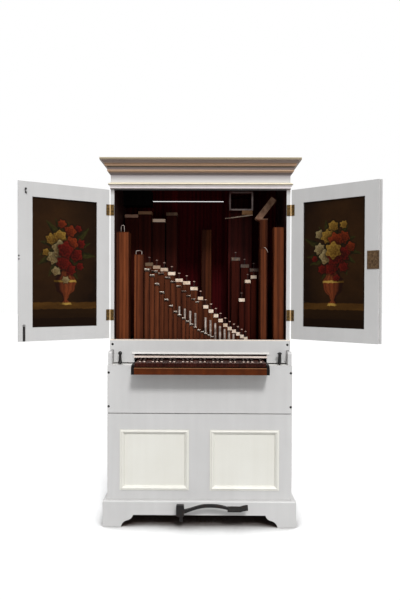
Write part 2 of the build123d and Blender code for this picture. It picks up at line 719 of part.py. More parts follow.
def knuckle(radius, z, part):
    """One third of a hinge barrel about the hinge line: -1 below, 0 middle, 1 above."""
    third = HINGE_HEIGHT / 3
    z0 = z - HINGE_HEIGHT / 2 + (part + 1) * third
    return rod(radius, (0, 0, z0), (0, 0, z0 + third))


def door_leaf(side, z):
    low = z - HINGE_HEIGHT / 2
    high = z + HINGE_HEIGHT / 2
    inner_y = -DOOR_GAP / 2
    leaf = block(0, -side * LEAF_REACH, inner_y, inner_y + LEAF_THICK, low, high)
    for part in (-1, 1):
        leaf -= knuckle(KNUCKLE_R + KNUCKLE_ROOM, z, part)
    third = HINGE_HEIGHT / 3
    barrel_low = z - third / 2 + KNUCKLE_END_GAP
    barrel_high = z + third / 2 - KNUCKLE_END_GAP
    barrel = rod(KNUCKLE_R, (0, 0, barrel_low), (0, 0, barrel_high))
    bore = rod(PIN_R + PIN_CLEARANCE, (0, 0, low), (0, 0, high))
    return leaf + barrel - bore


def jamb_leaf(side, z):
    low = z - HINGE_HEIGHT / 2
    high = z + HINGE_HEIGHT / 2
    face_y = DOOR_GAP / 2
    leaf = block(0, -side * LEAF_REACH, face_y - LEAF_THICK, face_y, low, high)
    leaf -= knuckle(KNUCKLE_R + KNUCKLE_ROOM, z, 0)
    barrel = knuckle(KNUCKLE_R, z, -1) + knuckle(KNUCKLE_R, z, 1)
    pin = rod(PIN_R, (0, 0, low), (0, 0, high))
    return Pos(side * PIVOT_X, PIVOT_Y, 0) * (leaf + barrel + pin)


def doors():
    door(-1, LEFT_DOOR_ANGLE, "left_door")
    door(1, RIGHT_DOOR_ANGLE, "right_door")
    leaves = [jamb_leaf(side, z) for side in (-1, 1) for z in HINGE_PLACES]
    add("jamb_hinge_leaves", joined(leaves))


# Stop levers, turned iron, each on a pin under its ledge

def stop_lever(side):
    eye_half = STOP_EYE_THICK / 2
    stem = rod(STOP_STEM_R, (0, 0, 0), (0, 0, STOP_NECK_Z - STOP_PIVOT_Z))
    eye = rod(STOP_EYE_R, (0, -eye_half, 0), (0, eye_half, 0))
    bore = rod(STOP_PIN_R + PIN_CLEARANCE, (0, -eye_half, 0), (0, eye_half, 0))
    base = STOP_BASE_Z - STOP_PIVOT_Z
    neck = STOP_NECK_Z - STOP_PIVOT_Z
    head = STOP_HEAD_Z - STOP_PIVOT_Z
    if side < 0:
        turned = run([
            ((0, base), 0), ((STOP_BASE_R, base), 0), ((STOP_NECK_R, neck), STOP_BASE_BOW),
            ((STOP_NECK_R, head), 0), ((0, head), 0),
        ])
        knob = Pos(0, 0, head) * Sphere(STOP_BALL_R)
    else:
        turned = run([
            ((0, base), 0), ((STOP_COLLAR_R, base), 0), ((STOP_SHAFT_R, base + STOP_COLLAR_HEIGHT), 0),
            ((STOP_WAIST_R, head - STOP_WAIST_DROP), 0), ((STOP_CAP_R, head), 0), ((0, head), 0),
        ])
        cap = run([
            ((0, head), 0), ((STOP_CAP_R, head), 0), ((0, head + STOP_CAP_RISE), STOP_CAP_BOW),
        ])
        knob = revolve(Plane.XZ * cap, Axis.Z)
    shank = revolve(Plane.XZ * turned, Axis.Z)
    return Pos(side * STOP_X, STOP_Y, STOP_PIVOT_Z) * (stem + shank + knob + eye - bore)


def stop_bracket(side):
    """Two ears that hang from the ledge, with the pin between them."""
    gap = STOP_EYE_THICK / 2 + STOP_CHEEK_GAP
    top = LEDGE_Z - LEDGE_THICK
    low = STOP_PIVOT_Z - STOP_EYE_R
    x0 = side * STOP_X - STOP_EYE_R
    x1 = side * STOP_X + STOP_EYE_R
    ears = []
    for way in (-1, 1):
        ears.append(block(x0, x1, STOP_Y + way * gap, STOP_Y + way * (gap + STOP_CHEEK), low, top))
    ends = gap + STOP_CHEEK
    x = side * STOP_X
    pin = rod(STOP_PIN_R, (x, STOP_Y - ends, STOP_PIVOT_Z), (x, STOP_Y + ends, STOP_PIVOT_Z))
    return ears[0] + ears[1] + pin


def stops():
    add("left_stop_lever", stop_lever(-1))
    add("right_stop_lever", stop_lever(1))
    add("stop_brackets", joined([stop_bracket(-1), stop_bracket(1)]))


# Blowing pedal: a flat bar hinged under the case, with a forged arm that carries the tread

def pedal():
    half = PEDAL_BAR_WIDTH / 2
    left = PEDAL_X - half
    right = PEDAL_X + half
    low = PEDAL_PIVOT_Z - PEDAL_BAR_HEIGHT / 2
    high = PEDAL_PIVOT_Z + PEDAL_BAR_HEIGHT / 2
    riser_front = PEDAL_RISER_Y - half
    bar = block(left, right, riser_front, PEDAL_PIVOT_Y, low, high)
    eye = rod(PEDAL_EYE_R, (left, PEDAL_PIVOT_Y, PEDAL_PIVOT_Z), (right, PEDAL_PIVOT_Y, PEDAL_PIVOT_Z))
    bore = rod(PEDAL_PIN_R + PIN_CLEARANCE, (left, PEDAL_PIVOT_Y, PEDAL_PIVOT_Z),
               (right, PEDAL_PIVOT_Y, PEDAL_PIVOT_Z))
    riser = block(left, right, riser_front, PEDAL_RISER_Y + half, low, PEDAL_RISER_TOP)
    add("pedal_bar", bar + eye + riser - bore)
    lug = block(PEDAL_BOSS_LEFT, PEDAL_BOSS_RIGHT, PEDAL_BOSS_FRONT, riser_front, PEDAL_BOSS_FOOT,
                PEDAL_BOSS_TOP)
    boss = fillet(lug.edges().filter_by(Axis.Y), PEDAL_BOSS_ROUND)
    arm_face = outline(
        Spline(*PEDAL_ARM_TOP),
        Line(PEDAL_ARM_TOP[-1], PEDAL_ARM_UNDER[0]),
        Spline(*PEDAL_ARM_UNDER),
        Line(PEDAL_ARM_UNDER[-1], PEDAL_ARM_TOP[0]),
    )
    arm = slab_xz(arm_face, PEDAL_ARM_Y - PEDAL_ARM_THICK / 2, PEDAL_ARM_Y + PEDAL_ARM_THICK / 2)
    face = PEDAL_TREAD_THICK / 2
    tread_face = run([
        ((PEDAL_TREAD_LEFT, -face), 0), ((PEDAL_TREAD_BEND, -face), 0),
        ((PEDAL_TREAD_RIGHT, PEDAL_TREAD_RISE - face), PEDAL_TREAD_BOW),
        ((PEDAL_TREAD_RIGHT, PEDAL_TREAD_RISE + face), 0), ((PEDAL_TREAD_BEND, face), -PEDAL_TREAD_BOW),
        ((PEDAL_TREAD_LEFT, face), 0),
    ])
    plate = slab_xz(tread_face, -PEDAL_TREAD_WIDTH / 2, PEDAL_TREAD_WIDTH / 2)
    tread = Pos(0, PEDAL_TREAD_Y, PEDAL_TREAD_Z) * Rot(PEDAL_TREAD_TILT, 0, 0) * plate
    add("pedal_arm", boss + arm + tread)
    cheeks = []
    for way in (-1, 1):
        near = PEDAL_X + way * (half + PEDAL_CHEEK_GAP)
        far = near + way * PEDAL_CHEEK
        cheeks.append(block(near, far, PEDAL_PIVOT_Y - PEDAL_EYE_R, PEDAL_PIVOT_Y + PEDAL_EYE_R,
                            PEDAL_PIVOT_Z - PEDAL_EYE_R, BOTTOM_BOARD_Z))
    ends = half + PEDAL_CHEEK_GAP + PEDAL_CHEEK
    pin = rod(PEDAL_PIN_R, (PEDAL_X - ends, PEDAL_PIVOT_Y, PEDAL_PIVOT_Z),
              (PEDAL_X + ends, PEDAL_PIVOT_Y, PEDAL_PIVOT_Z))
    add("pedal_bracket", cheeks[0] + cheeks[1] + pin)


# Pipes, from the plan and fitted to the chamber

def high(z):
    """A height on the plan, fitted to the chamber."""
    return CHEST_TOP + (z - PLAN_CHEST_TOP) * UPWARD


def fitted(left, width, top, front_y, depth):
    """A pipe of the plan as it stands in the chamber: its middle, width, top, front and depth."""
    return (left + width / 2) * ACROSS, width * ACROSS, high(top), front_y, depth


def top_line(tops, x):
    """The height of a row's tops at x, straight between the points of its falling line."""
    for (x0, z0), (x1, z1) in zip(tops, tops[1:]):
        if x <= x1:
            return z0 + (z1 - z0) * (x - x0) / (x1 - x0)
    return tops[-1][1]


def row_of_pipes(left, count, width, halving, front_y, depth_share, tops):
    """Pipes side by side, all as wide or each narrower than the last by the same ratio."""
    row = []
    for i in range(count):
        step = width * 2 ** (-i / halving) if halving else width
        top = top_line(tops, left + step / 2)
        row.append(fitted(left, step - PIPE_GAP, top, front_y, (step - PIPE_GAP) * depth_share))
        left += step
    return row


def wooden_pipe(x, width, top, front_y, depth):
    """A square wooden tube on a block and a foot, with its mouth cut low in the front."""
    x0 = x - width / 2
    x1 = x + width / 2
    body = block(x0, x1, front_y, front_y + depth, BODY_Z, top)
    air = block(x0 + PIPE_WALL, x1 - PIPE_WALL, front_y + PIPE_WALL, front_y + depth - PIPE_WALL,
                BODY_Z + BLOCK_HEIGHT, top)
    lip = BODY_Z + BLOCK_HEIGHT + width * MOUTH_SHARE
    mouth = block(x0 + PIPE_WALL, x1 - PIPE_WALL, front_y, front_y + PIPE_WALL, BODY_Z + BLOCK_HEIGHT, lip)
    foot = block(x - FOOT_SIZE / 2, x + FOOT_SIZE / 2, front_y + depth / 2 - FOOT_SIZE / 2,
                 front_y + depth / 2 + FOOT_SIZE / 2, CHEST_TOP, BODY_Z)
    return body - air - mouth + foot


def stopper(x, width, top, front_y, depth):
    """A stopper in the top of a pipe: a neck inside and a head on the rim."""
    room = PIPE_WALL + STOPPER_FIT
    head = block(x - width / 2, x + width / 2, front_y, front_y + depth, top, top + STOPPER_HEAD)
    neck = block(x - width / 2 + room, x + width / 2 - room, front_y + room, front_y + depth - room,
                 top - STOPPER_NECK, top)
    return head + neck


def stopper_handle(x, width, top, front_y, depth):
    """A small wooden tee on the stopper's head, by which it is drawn."""
    y = front_y + depth / 2
    half = HANDLE_WIDTH / 2
    foot = top + STOPPER_HEAD
    end = foot + HANDLE_HEIGHT
    stem = block(x - half, x + half, y - half, y + half, foot, end)
    bar = block(x - HANDLE_BAR / 2, x + HANDLE_BAR / 2, y - half, y + half, end - HANDLE_WIDTH, end)
    return stem + bar


def flap(x, width, top, front_y, depth):
    """A lead flap on the back rim of an open pipe, bent forward over its top to tune it."""
    plate = Box(width - 2 * FLAP_SIDE, depth, FLAP_THICK, align=(Align.CENTER, Align.MAX, Align.MIN))
    return Pos(x, front_y + depth, top) * Rot(-FLAP_SLOPE, 0, 0) * plate


def metal_row():
    row = []
    x = METAL_FIRST_X
    for i in range(METAL_COUNT):
        if i != METAL_MISSING:
            top = high(top_line(METAL_TOPS, x))
            at = x * ACROSS
            tube = rod(METAL_R, (at, METAL_Y, BODY_Z), (at, METAL_Y, top))
            tube -= rod(METAL_R - METAL_WALL, (at, METAL_Y, BODY_Z + METAL_WALL), (at, METAL_Y, top))
            toe = Pos(at, METAL_Y, CHEST_TOP) * Circle(METAL_TOE_R)
            shoulder = Pos(at, METAL_Y, BODY_Z) * Circle(METAL_R)
            row.append(tube + loft([toe, shoulder]))
        x += METAL_PITCH * 2 ** (-i / METAL_HALVING)
    return row


def slanting_line(foot, head, thick):
    """The face of a straight piece between two points, seen from the front."""
    x0, z0 = foot
    x1, z1 = head
    length = math.dist((x0, z0), (x1, z1))
    side_x = (z1 - z0) / length * thick / 2
    side_z = (x1 - x0) / length * thick / 2
    return run([
        ((x0 - side_x, z0 + side_z), 0), ((x1 - side_x, z1 + side_z), 0),
        ((x1 + side_x, z1 - side_z), 0), ((x0 + side_x, z0 - side_z), 0),
    ])


def slanted_pipe():
    """A tall pipe that goes on in a slanting limb to its right, open at the head."""
    pipe = fitted(*SLANTED_PIPE)
    front_y = pipe[3]
    back_y = front_y + pipe[4]
    foot, knee, head = [(x * ACROSS, high(z)) for x, z in (SLANT_FOOT, SLANT_KNEE, SLANT_HEAD)]
    limb = slab_xz(slanting_line(foot, head, SLANT_THICK), front_y, back_y)
    air_face = slanting_line(foot, head, SLANT_THICK - 2 * PIPE_WALL)
    air = slab_xz(air_face, front_y + PIPE_WALL, back_y - PIPE_WALL)
    closed_end = slab_xz(slanting_line(foot, knee, SLANT_THICK), front_y, back_y)
    return wooden_pipe(*pipe) + (limb - air + closed_end)


def mitred_pipe():
    """A tall pipe at the back wall whose upper end is turned forward by a mitred elbow."""
    x0 = MITRED_LEFT * ACROSS
    x1 = (MITRED_LEFT + MITRED_WIDTH) * ACROSS
    top = CASE_TOP - MITRED_BELOW_TOP
    low = top - MITRED_HEIGHT
    front = MITRED_BACK - MITRED_HEIGHT
    upright = block(x0, x1, front, MITRED_BACK, BODY_Z, top)
    upright_air = block(x0 + MITRE_WALL, x1 - MITRE_WALL, front + MITRE_WALL, MITRED_BACK - MITRE_WALL,
                        BODY_Z + BLOCK_HEIGHT, top - MITRE_WALL)
    limb = block(x0, x1, MITRED_FRONT, MITRED_BACK, low, top)
    limb_air = block(x0 + MITRE_WALL, x1 - MITRE_WALL, MITRED_FRONT, MITRED_BACK - MITRE_WALL,
                     low + MITRE_WALL, top - MITRE_WALL)
    x = (x0 + x1) / 2
    y = (front + MITRED_BACK) / 2
    half = MITRE_FOOT / 2
    foot = block(x - half, x + half, y - half, y + half, CHEST_TOP, BODY_Z)
    prop_low = low - PROP_HEIGHT
    prop = block(PROP_LEFT * ACROSS, PROP_RIGHT * ACROSS, MITRED_FRONT, MITRED_FRONT + PROP_DEPTH,
                 prop_low, low)
    nailed = (LATH_RIGHT * ACROSS, prop_low - LATH_SUNK)
    free = (LATH_LEFT * ACROSS, prop_low - LATH_SUNK - LATH_DROP)
    lath = slab_xz(slanting_line(free, nailed, LATH_THICK), MITRED_FRONT, MITRED_FRONT + LATH_DEPTH)
    return (upright + limb + foot) - upright_air - limb_air + prop + lath


def bass_limb():
    """The end of a large bass pipe that lies across the upper left corner."""
    right = LIMB_RIGHT * ACROSS
    top = CASE_TOP - LIMB_BELOW_TOP
    low = top - LIMB_HEIGHT
    limb = block(-INNER, right, LIMB_FRONT, INSIDE_BACK, low, top)
    air = block(-INNER, right, LIMB_FRONT + MITRE_WALL, INSIDE_BACK - MITRE_WALL, low + MITRE_WALL,
                top - MITRE_WALL)
    return limb - air


def add_pipes(name, pipes):
    add(name, joined([wooden_pipe(*pipe) for pipe in pipes]))


def pipes():
    add("wind_chest", block(-INNER, INNER, CHEST_FRONT, INSIDE_BACK - CHEST_BACK_GAP,
                            CHEST_TOP - CHEST_HEIGHT, CHEST_TOP))
    main = row_of_pipes(*BASS_ROW) + row_of_pipes(*TREBLE_ROW)
    front = row_of_pipes(*FRONT_ROW)
    middle = row_of_pipes(*MIDDLE_ROW)
    rear = [fitted(*pipe) for pipe in REAR_PIPES]
    right_rear = [fitted(*pipe) for pipe in RIGHT_REAR_PIPES]
    right_front = [fitted(*pipe) for pipe in RIGHT_FRONT_PIPES]
    add_pipes("main_pipes", main)
    add("main_stoppers", joined([stopper(*pipe) for pipe in main]))
    add_pipes("front_pipes", front)
    add("front_flaps", joined([flap(*pipe) for pipe in front + middle]))
    add_pipes("middle_pipes", middle)
    add("metal_pipes", joined(metal_row()))
    add_pipes("rear_pipes", rear)
    add("rear_stoppers", joined([stopper(*pipe) for pipe in rear]))
    add_pipes("right_pipes", right_rear + right_front)
    add("right_stoppers", joined([stopper(*pipe) for pipe in right_rear + right_front]))
    add("stopper_handles", joined([stopper_handle(*pipe) for pipe in main + right_rear + right_front]))
    tall = [wooden_pipe(*fitted(*pipe)) for pipe in TALL_PIPES]
    add("tall_pipes", joined(tall + [slanted_pipe()]))
    add("right_mitred_pipe", mitred_pipe())
    add("left_bass_limb", bass_limb())


def build():
    case_boards()
    mouldings()
    lower_front()
    plinth()
    nameboard()
    ledges()
    keyboard()
    doors()
    stops()
    pedal()
    pipes()


build()

boxes = [part.bounding_box() for part in parts.values()]
middle_x = (min(box.min.X for box in boxes) + max(box.max.X for box in boxes)) / 2
middle_y = (min(box.min.Y for box in boxes) + max(box.max.Y for box in boxes)) / 2
floor_z = min(box.min.Z for box in boxes)
print("The case stands at", -middle_x, -middle_y, "with its lowest point at", floor_z)

os.makedirs("parts", exist_ok=True)
for name, part in parts.items():
    export_step(Pos(-middle_x, -middle_y, -floor_z) * part, f"parts/{name}.step")
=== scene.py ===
# %% [markdown]
# A small cabinet organ stands open: a grey painted case, two doors folded back, a keyboard that comes out
# of the front, and ranks of wooden pipes in the dark behind it. The frame already holds every solid piece
# at its true size. This lesson gives those pieces their finishes and adds what is too fine for them:
# screws, the arcades on the key fronts, tuning wires, and the painted flower panels of the doors.

# %% Load the frame
import json
import math
import random
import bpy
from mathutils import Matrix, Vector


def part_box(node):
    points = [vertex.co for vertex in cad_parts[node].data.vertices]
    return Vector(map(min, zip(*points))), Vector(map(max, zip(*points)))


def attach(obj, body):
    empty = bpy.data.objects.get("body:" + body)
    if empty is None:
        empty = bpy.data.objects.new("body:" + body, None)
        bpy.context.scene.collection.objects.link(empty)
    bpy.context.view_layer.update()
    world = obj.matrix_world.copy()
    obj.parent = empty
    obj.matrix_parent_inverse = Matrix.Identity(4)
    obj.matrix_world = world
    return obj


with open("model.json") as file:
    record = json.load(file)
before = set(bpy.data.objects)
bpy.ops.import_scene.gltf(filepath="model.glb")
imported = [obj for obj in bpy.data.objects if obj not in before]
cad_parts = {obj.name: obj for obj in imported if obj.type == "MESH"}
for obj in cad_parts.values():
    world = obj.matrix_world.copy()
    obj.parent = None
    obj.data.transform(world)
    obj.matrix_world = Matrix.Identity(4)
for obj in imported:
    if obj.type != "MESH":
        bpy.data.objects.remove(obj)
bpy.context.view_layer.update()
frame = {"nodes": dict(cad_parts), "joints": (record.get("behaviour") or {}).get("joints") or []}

from types import SimpleNamespace

import bmesh
import bpy
from mathutils import Matrix, Vector

# %% [markdown]
# Sizes on the case are easiest to give from the middle of the lower front board and up from the floor, as
# a joiner would measure them. The frame's own zero lies elsewhere, so one helper turns the first into the
# second. The hinge lines come from the joints in the frame, which keeps everything on a door with its door.

# %% Measure from the case
front_low, front_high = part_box("lower_front_board")
CASE_MIDDLE = (front_low.x + front_high.x) / 2
FRONT_FACE = front_low.y
QUARTER = math.radians(90)
joints = {joint["name"]: joint for joint in frame["joints"]}


def spot(across, back, up):
    """A point given from the case middle, the lower front's face and the floor, in metres."""
    return Vector((CASE_MIDDLE + across, FRONT_FACE + back, up))


def door_place(side):
    """The matrix from a closed door, drawn about its hinge line, to where it stands open."""
    joint = joints["left_door_hinge" if side < 0 else "right_door_hinge"]
    x, y, _ = joint["pos_m"]
    turn = math.radians(max(joint["range_deg"])) * side
    return Matrix.Translation((x, y, 0)) @ Matrix.Rotation(turn, 4, "Z")


def stand(name, data):
    """Make an object of some data and put it in the scene."""
    thing = bpy.data.objects.new(name, data)
    bpy.context.scene.collection.objects.link(thing)
    return thing


left_place, right_place = door_place(-1), door_place(1)
print("case middle", round(CASE_MIDDLE, 4), "front face", round(FRONT_FACE, 4))

# %% [markdown]
# The camera stands three metres in front of the organ, a little above its keyboard, and looks almost level.
# Its place, turn and lens were worked out from the corners of the case, so straight edges fall where they
# should in a picture 400 wide and 600 high. The lens is given for the longer side of the picture.

# %% Camera
LENS, SENSOR = 33.624, 36
CAMERA_PLACE = (0.024977, -3.028241, 1.263294)
CAMERA_TURN = (0.465, -0.713, -0.198)
camera_data = bpy.data.cameras.new("organ_camera")
camera_data.sensor_width = SENSOR
camera_data.lens = LENS
camera = stand("organ_camera", camera_data)
yaw, pitch, roll = (math.radians(degrees) for degrees in CAMERA_TURN)
aim = (Matrix.Rotation(yaw, 4, "Z") @ Matrix.Rotation(pitch, 4, "X") @ Matrix.Rotation(roll, 4, "Y")
       @ Matrix.Rotation(QUARTER, 4, "X"))
camera.matrix_world = Matrix.Translation(spot(*CAMERA_PLACE)) @ aim
bpy.context.scene.camera = camera
bpy.context.scene.view_settings.view_transform = "Standard"
print("camera at", tuple(round(value, 3) for value in camera.matrix_world.translation))

# %% [markdown]
# Every finish below is a sum over places and colours, so it helps if it can be written as one. A Signal
# is what a node puts out. A plus or a times sign on it places the Math node that does the sum, and a
# comparison gives a mask, 1 where it holds and 0 elsewhere.

# %% Nodes written as sums
class Signal:
    """What a node puts out; the signs of arithmetic on it place Math nodes."""

    def __init__(self, tree, socket):
        self.tree, self.socket = tree, socket

    def __add__(self, other):
        return calc("ADD", self, other)

    def __sub__(self, other):
        return calc("SUBTRACT", self, other)

    def __rsub__(self, other):
        return calc("SUBTRACT", other, self)

    def __mul__(self, other):
        return calc("MULTIPLY", self, other)

    def __truediv__(self, other):
        return calc("DIVIDE", self, other)

    def __gt__(self, other):
        return calc("GREATER_THAN", self, other)

    def __lt__(self, other):
        return calc("LESS_THAN", self, other)

    def __abs__(self):
        return calc("ABSOLUTE", self)


def feed(tree, source, socket):
    """Give a socket a value, or the signal or socket that drives it."""
    source = source.socket if isinstance(source, Signal) else source
    if isinstance(source, bpy.types.NodeSocket):
        tree.links.new(source, socket)
    else:
        socket.default_value = source


def put(tree, kind, feeds=None, **settings):
    """Place a node, with its settings and what feeds its inputs."""
    node = tree.nodes.new(kind)
    for name, value in settings.items():
        setattr(node, name, value)
    for name, source in (feeds or {}).items():
        feed(tree, source, node.inputs[name])
    return node


def made(tree, kind, output, feeds=None, **settings):
    """Place a node and give one of its outputs as a signal."""
    return Signal(tree, put(tree, kind, feeds, **settings).outputs[output])


def tree_of(*terms):
    """The tree that the first signal of some terms belongs to."""
    return next(term.tree for term in terms if isinstance(term, Signal))


def calc(operation, *terms):
    """One Math node on signals and plain numbers."""
    return made(tree_of(*terms), "ShaderNodeMath", 0, dict(enumerate(terms)), operation=operation)


def capped(total):
    """Keep a sum between 0 and 1."""
    total.socket.node.use_clamp = True
    return total


def most(a, b):
    return calc("MAXIMUM", a, b)


print("sums place nodes now")

# %% [markdown]
# A few nodes come back in nearly every finish: a mix of two colours, a range stretched to another, noise,
# and a ramp. Each gets a short name. Colours are given on the familiar 0 to 255 scale and turned into
# the linear numbers that shaders work in. The Mix node has sockets for every kind of data; the numbers
# here are those of its colours.

# %% Helpers for colours and patterns
MIX_FACTOR, MIX_A, MIX_B, MIX_RESULT = 0, 6, 7, 2


def tone(*channels):
    """A colour on the 0 to 255 scale as a shader's linear colour."""
    linear = []
    for channel in channels:
        share = channel / 255
        linear.append(share / 12.92 if share <= 0.04045 else ((share + 0.055) / 1.055) ** 2.4)
    return (*linear, 1.0)


def mix(factor, a, b):
    """Colour a where the factor is 0, colour b where it is 1."""
    return made(tree_of(factor, a, b), "ShaderNodeMix", MIX_RESULT, {MIX_FACTOR: factor, MIX_A: a, MIX_B: b},
                data_type="RGBA")


def between(value, low, high, out_low=0.0, out_high=1.0):
    """Stretch the part of a value between low and high to a new range, and cut off the rest."""
    return made(value.tree, "ShaderNodeMapRange", "Result", {
        "Value": value, "From Min": low, "From Max": high, "To Min": out_low, "To Max": out_high})


def noise(place, scale, detail=3.0, rough=0.5, output="Fac"):
    return made(place.tree, "ShaderNodeTexNoise", output, {
        "Vector": place, "Scale": scale, "Detail": detail, "Roughness": rough})


def stretched(place, scale=(1, 1, 1), turn=(0, 0, 0), move=(0, 0, 0)):
    """A place in a space that is scaled, then turned, then moved."""
    return made(place.tree, "ShaderNodeMapping", "Vector", {
        "Vector": place, "Scale": scale, "Rotation": turn, "Location": move})


def ramp(value, interpolation, steps):
    """A colour for each place between 0 and 1; steps are (place, colour)."""
    node = put(value.tree, "ShaderNodeValToRGB", {"Fac": value})
    node.color_ramp.interpolation = interpolation
    points = node.color_ramp.elements
    for index, (position, colour) in enumerate(steps):
        point = points[index] if index < 2 else points.new(position)
        point.position = position
        point.color = colour
    return Signal(value.tree, node.outputs["Color"])


def here(tree):
    """The place of a point on the object."""
    return made(tree, "ShaderNodeTexCoord", "Object")


def axes(place):
    """The x, y and z of a place."""
    parts = put(place.tree, "ShaderNodeSeparateXYZ", {"Vector": place}).outputs
    return SimpleNamespace(x=Signal(place.tree, parts["X"]), y=Signal(place.tree, parts["Y"]),
                           z=Signal(place.tree, parts["Z"]))


print("pattern helpers ready")

# %% [markdown]
# An effect that many finishes share is a node group, built once and placed with other values each time. Its
# inputs have names, so a material reads as a list of what it asks for.

# %% Helpers for node groups
def ends(tree):
    """The two ends of a group: its inputs as signals by name, and the node that takes its results."""
    got = {socket.name: Signal(tree, socket) for socket in put(tree, "NodeGroupInput").outputs}
    return got, put(tree, "NodeGroupOutput")


def effect(name, inputs, outputs):
    """A shader group with named inputs, given as (name, kind, value), and outputs."""
    tree = bpy.data.node_groups.new(name, "ShaderNodeTree")
    for label, kind, value in inputs:
        socket = tree.interface.new_socket(label, in_out="INPUT", socket_type="NodeSocket" + kind)
        if value is not None:
            socket.default_value = value
    for label, kind in outputs:
        tree.interface.new_socket(label, in_out="OUTPUT", socket_type="NodeSocket" + kind)
    return tree, *ends(tree)


def give(end, **results):
    """Lead a group's results to its outputs."""
    for name, signal in results.items():
        feed(signal.tree, signal, end.inputs[name])


def use(tree, group, feeds):
    """Place a group in a material, feed its inputs and give its outputs by name."""
    node = put(tree, "ShaderNodeGroup", node_tree=group)
    for name, source in feeds.items():
        feed(tree, source, node.inputs[name])
    return {socket.name: Signal(tree, socket) for socket in node.outputs}


print("group helpers ready")

# %% [markdown]
# Old paint rubs through first where edges stick out. The Bevel node gives the normal that a rounded edge
# would have, so wherever it differs from the true normal there is an edge. Noise breaks the wear into
# patches, because hands and dusters never rub evenly. The unbroken edge comes out as well, for arrises
# that are painted dark as the shade between neighbouring pipes.

# %% Edge wear
edge_wear, got, end = effect("edge_wear", [
    ("Radius", "Float", 0.002), ("Patch Scale", "Float", 30.0), ("Amount", "Float", 1.0)],
    [("Wear", "Float"), ("Edge", "Float")])
rounded = made(edge_wear, "ShaderNodeBevel", "Normal", {"Radius": got["Radius"]}, samples=4)
true_normal = made(edge_wear, "ShaderNodeNewGeometry", "True Normal")
agree = made(edge_wear, "ShaderNodeVectorMath", "Value", {0: rounded, 1: true_normal},
             operation="DOT_PRODUCT")
edge = between(1.0 - agree, 0.01, 0.14)
patch = between(noise(here(edge_wear), got["Patch Scale"], 5.0, 0.7), 0.42, 0.62)
give(end, Wear=capped(edge * patch * got["Amount"]), Edge=capped(edge * got["Amount"]))


def rubbed(colour, radius, patches, amount, under):
    """Let the colour under a coat show where edges have worn."""
    wear = use(colour.tree, edge_wear, {"Radius": radius, "Patch Scale": patches, "Amount": amount})["Wear"]
    return mix(wear, colour, under)


print("edge wear ready")

# %% [markdown]
# Dust and hand grease settle in corners, and shade falls there too; this group paints both into the colour.
# Ambient occlusion measures how shut in a point is. Its distance is kept small, so only quirks, seams and
# inside corners darken.

# %% Grime and painted shade in corners
grime_and_shade, got, end = effect("grime_and_shade", [("Reach", "Float", 0.02), ("Amount", "Float", 1.0)],
                         [("Grime", "Float")])
open_air = made(grime_and_shade, "ShaderNodeAmbientOcclusion", "AO", {"Distance": got["Reach"]}, samples=6)
shut_in = between(1.0 - open_air, 0.25, 0.85)
cloud = between(noise(here(grime_and_shade), 14.0, 4.0), 0.3, 0.65, 0.45, 1.0)
give(end, Grime=capped(shut_in * cloud * got["Amount"]))


def dirtied_and_shaded(colour, reach, amount, dirt_and_shade):
    """Lay dirt and painted shade over a colour in corners."""
    return mix(use(colour.tree, grime_and_shade, {"Reach": reach, "Amount": amount})["Grime"], colour, dirt_and_shade)


print("grime ready")

# %% [markdown]
# Wood grain is long fibres plus the wide bands of the year rings. Both come from textures whose space is
# squeezed along the board, so that they draw out into streaks. The group works on a vector whose Z runs
# along the board; each material turns its own pieces to suit.

# %% Wood grain
grain, got, end = effect("wood_grain", [("Vector", "Vector", None), ("Light", "Color", None),
                                        ("Dark", "Color", None), ("Rings", "Float", 9.0)],
                         [("Color", "Color"), ("Height", "Float")])
along = stretched(got["Vector"], (1.0, 1.0, 0.05))
wander = made(grain, "ShaderNodeTexWave", "Fac", {"Vector": along, "Scale": got["Rings"], "Distortion": 7.0,
                                                  "Detail": 3.0, "Detail Scale": 1.4}, bands_direction="X")
bands = wander * 0.3
threads = between(noise(along, 210.0, 4.0, 0.6), 0.3, 0.7) * 0.35
clouds = between(noise(along, 7.0, 3.0), 0.3, 0.7) * 0.4
give(end, Color=mix(capped(bands + threads + clouds), got["Dark"], got["Light"]), Height=threads + bands)
print("wood grain ready")

# %% [markdown]
# Hand brushed paint is never one flat grey. It has broad clouds where it was thinned or has yellowed, and
# fine ridges that the bristles left. The group gives both, one as a mask and one as a height.

# %% Brushed paint
brushed, got, end = effect("brushed_paint", [("Vector", "Vector", None)],
                           [("Cloud", "Float"), ("Ridges", "Float")])
bristle = stretched(got["Vector"], (1.0, 1.0, 0.06))
cloud = between(noise(got["Vector"], 3.2, 5.0, 0.55), 0.3, 0.7)
streak = between(noise(bristle, 24.0, 3.0), 0.3, 0.7)
give(end, Cloud=cloud * 0.65 + streak * 0.35, Ridges=noise(bristle, 260.0, 3.0, 0.6))
print("brushed paint ready")

# %% [markdown]
# Every material starts from the same skeleton: one Principled shader, an output, and the object's own
# coordinates. Numbers that are the same all over a surface are set on the shader itself. Bare wood and old
# oil paint mirror little of a white room, so their specular level is set well under paint's usual 0.5.

# %% Start and finish a material
class Finish:
    """A material with its one shader, the place of a point on it, and a way to lay on its colour."""

    def __init__(self, name, roughness, metallic=0.0, mirror=0.5):
        self.material = bpy.data.materials.new(name)
        self.material.use_nodes = True
        self.tree = self.material.node_tree
        self.tree.nodes.clear()
        self.shader = put(self.tree, "ShaderNodeBsdfPrincipled", {
            "Roughness": roughness, "Metallic": metallic, "Specular IOR Level": mirror})
        put(self.tree, "ShaderNodeOutputMaterial", {"Surface": self.shader.outputs["BSDF"]})
        self.place = here(self.tree)
        self.at = axes(self.place)

    def lay(self, colour, roughness, height, strength, depth):
        """Lay on the colour, a roughness if it changes, and a height as a bump; give the material."""
        feed(self.tree, colour, self.shader.inputs["Base Color"])
        if roughness is not None:
            feed(self.tree, roughness, self.shader.inputs["Roughness"])
        feed(self.tree, made(self.tree, "ShaderNodeBump", "Normal", {
            "Height": height, "Strength": strength, "Distance": depth}), self.shader.inputs["Normal"])
        return self.material


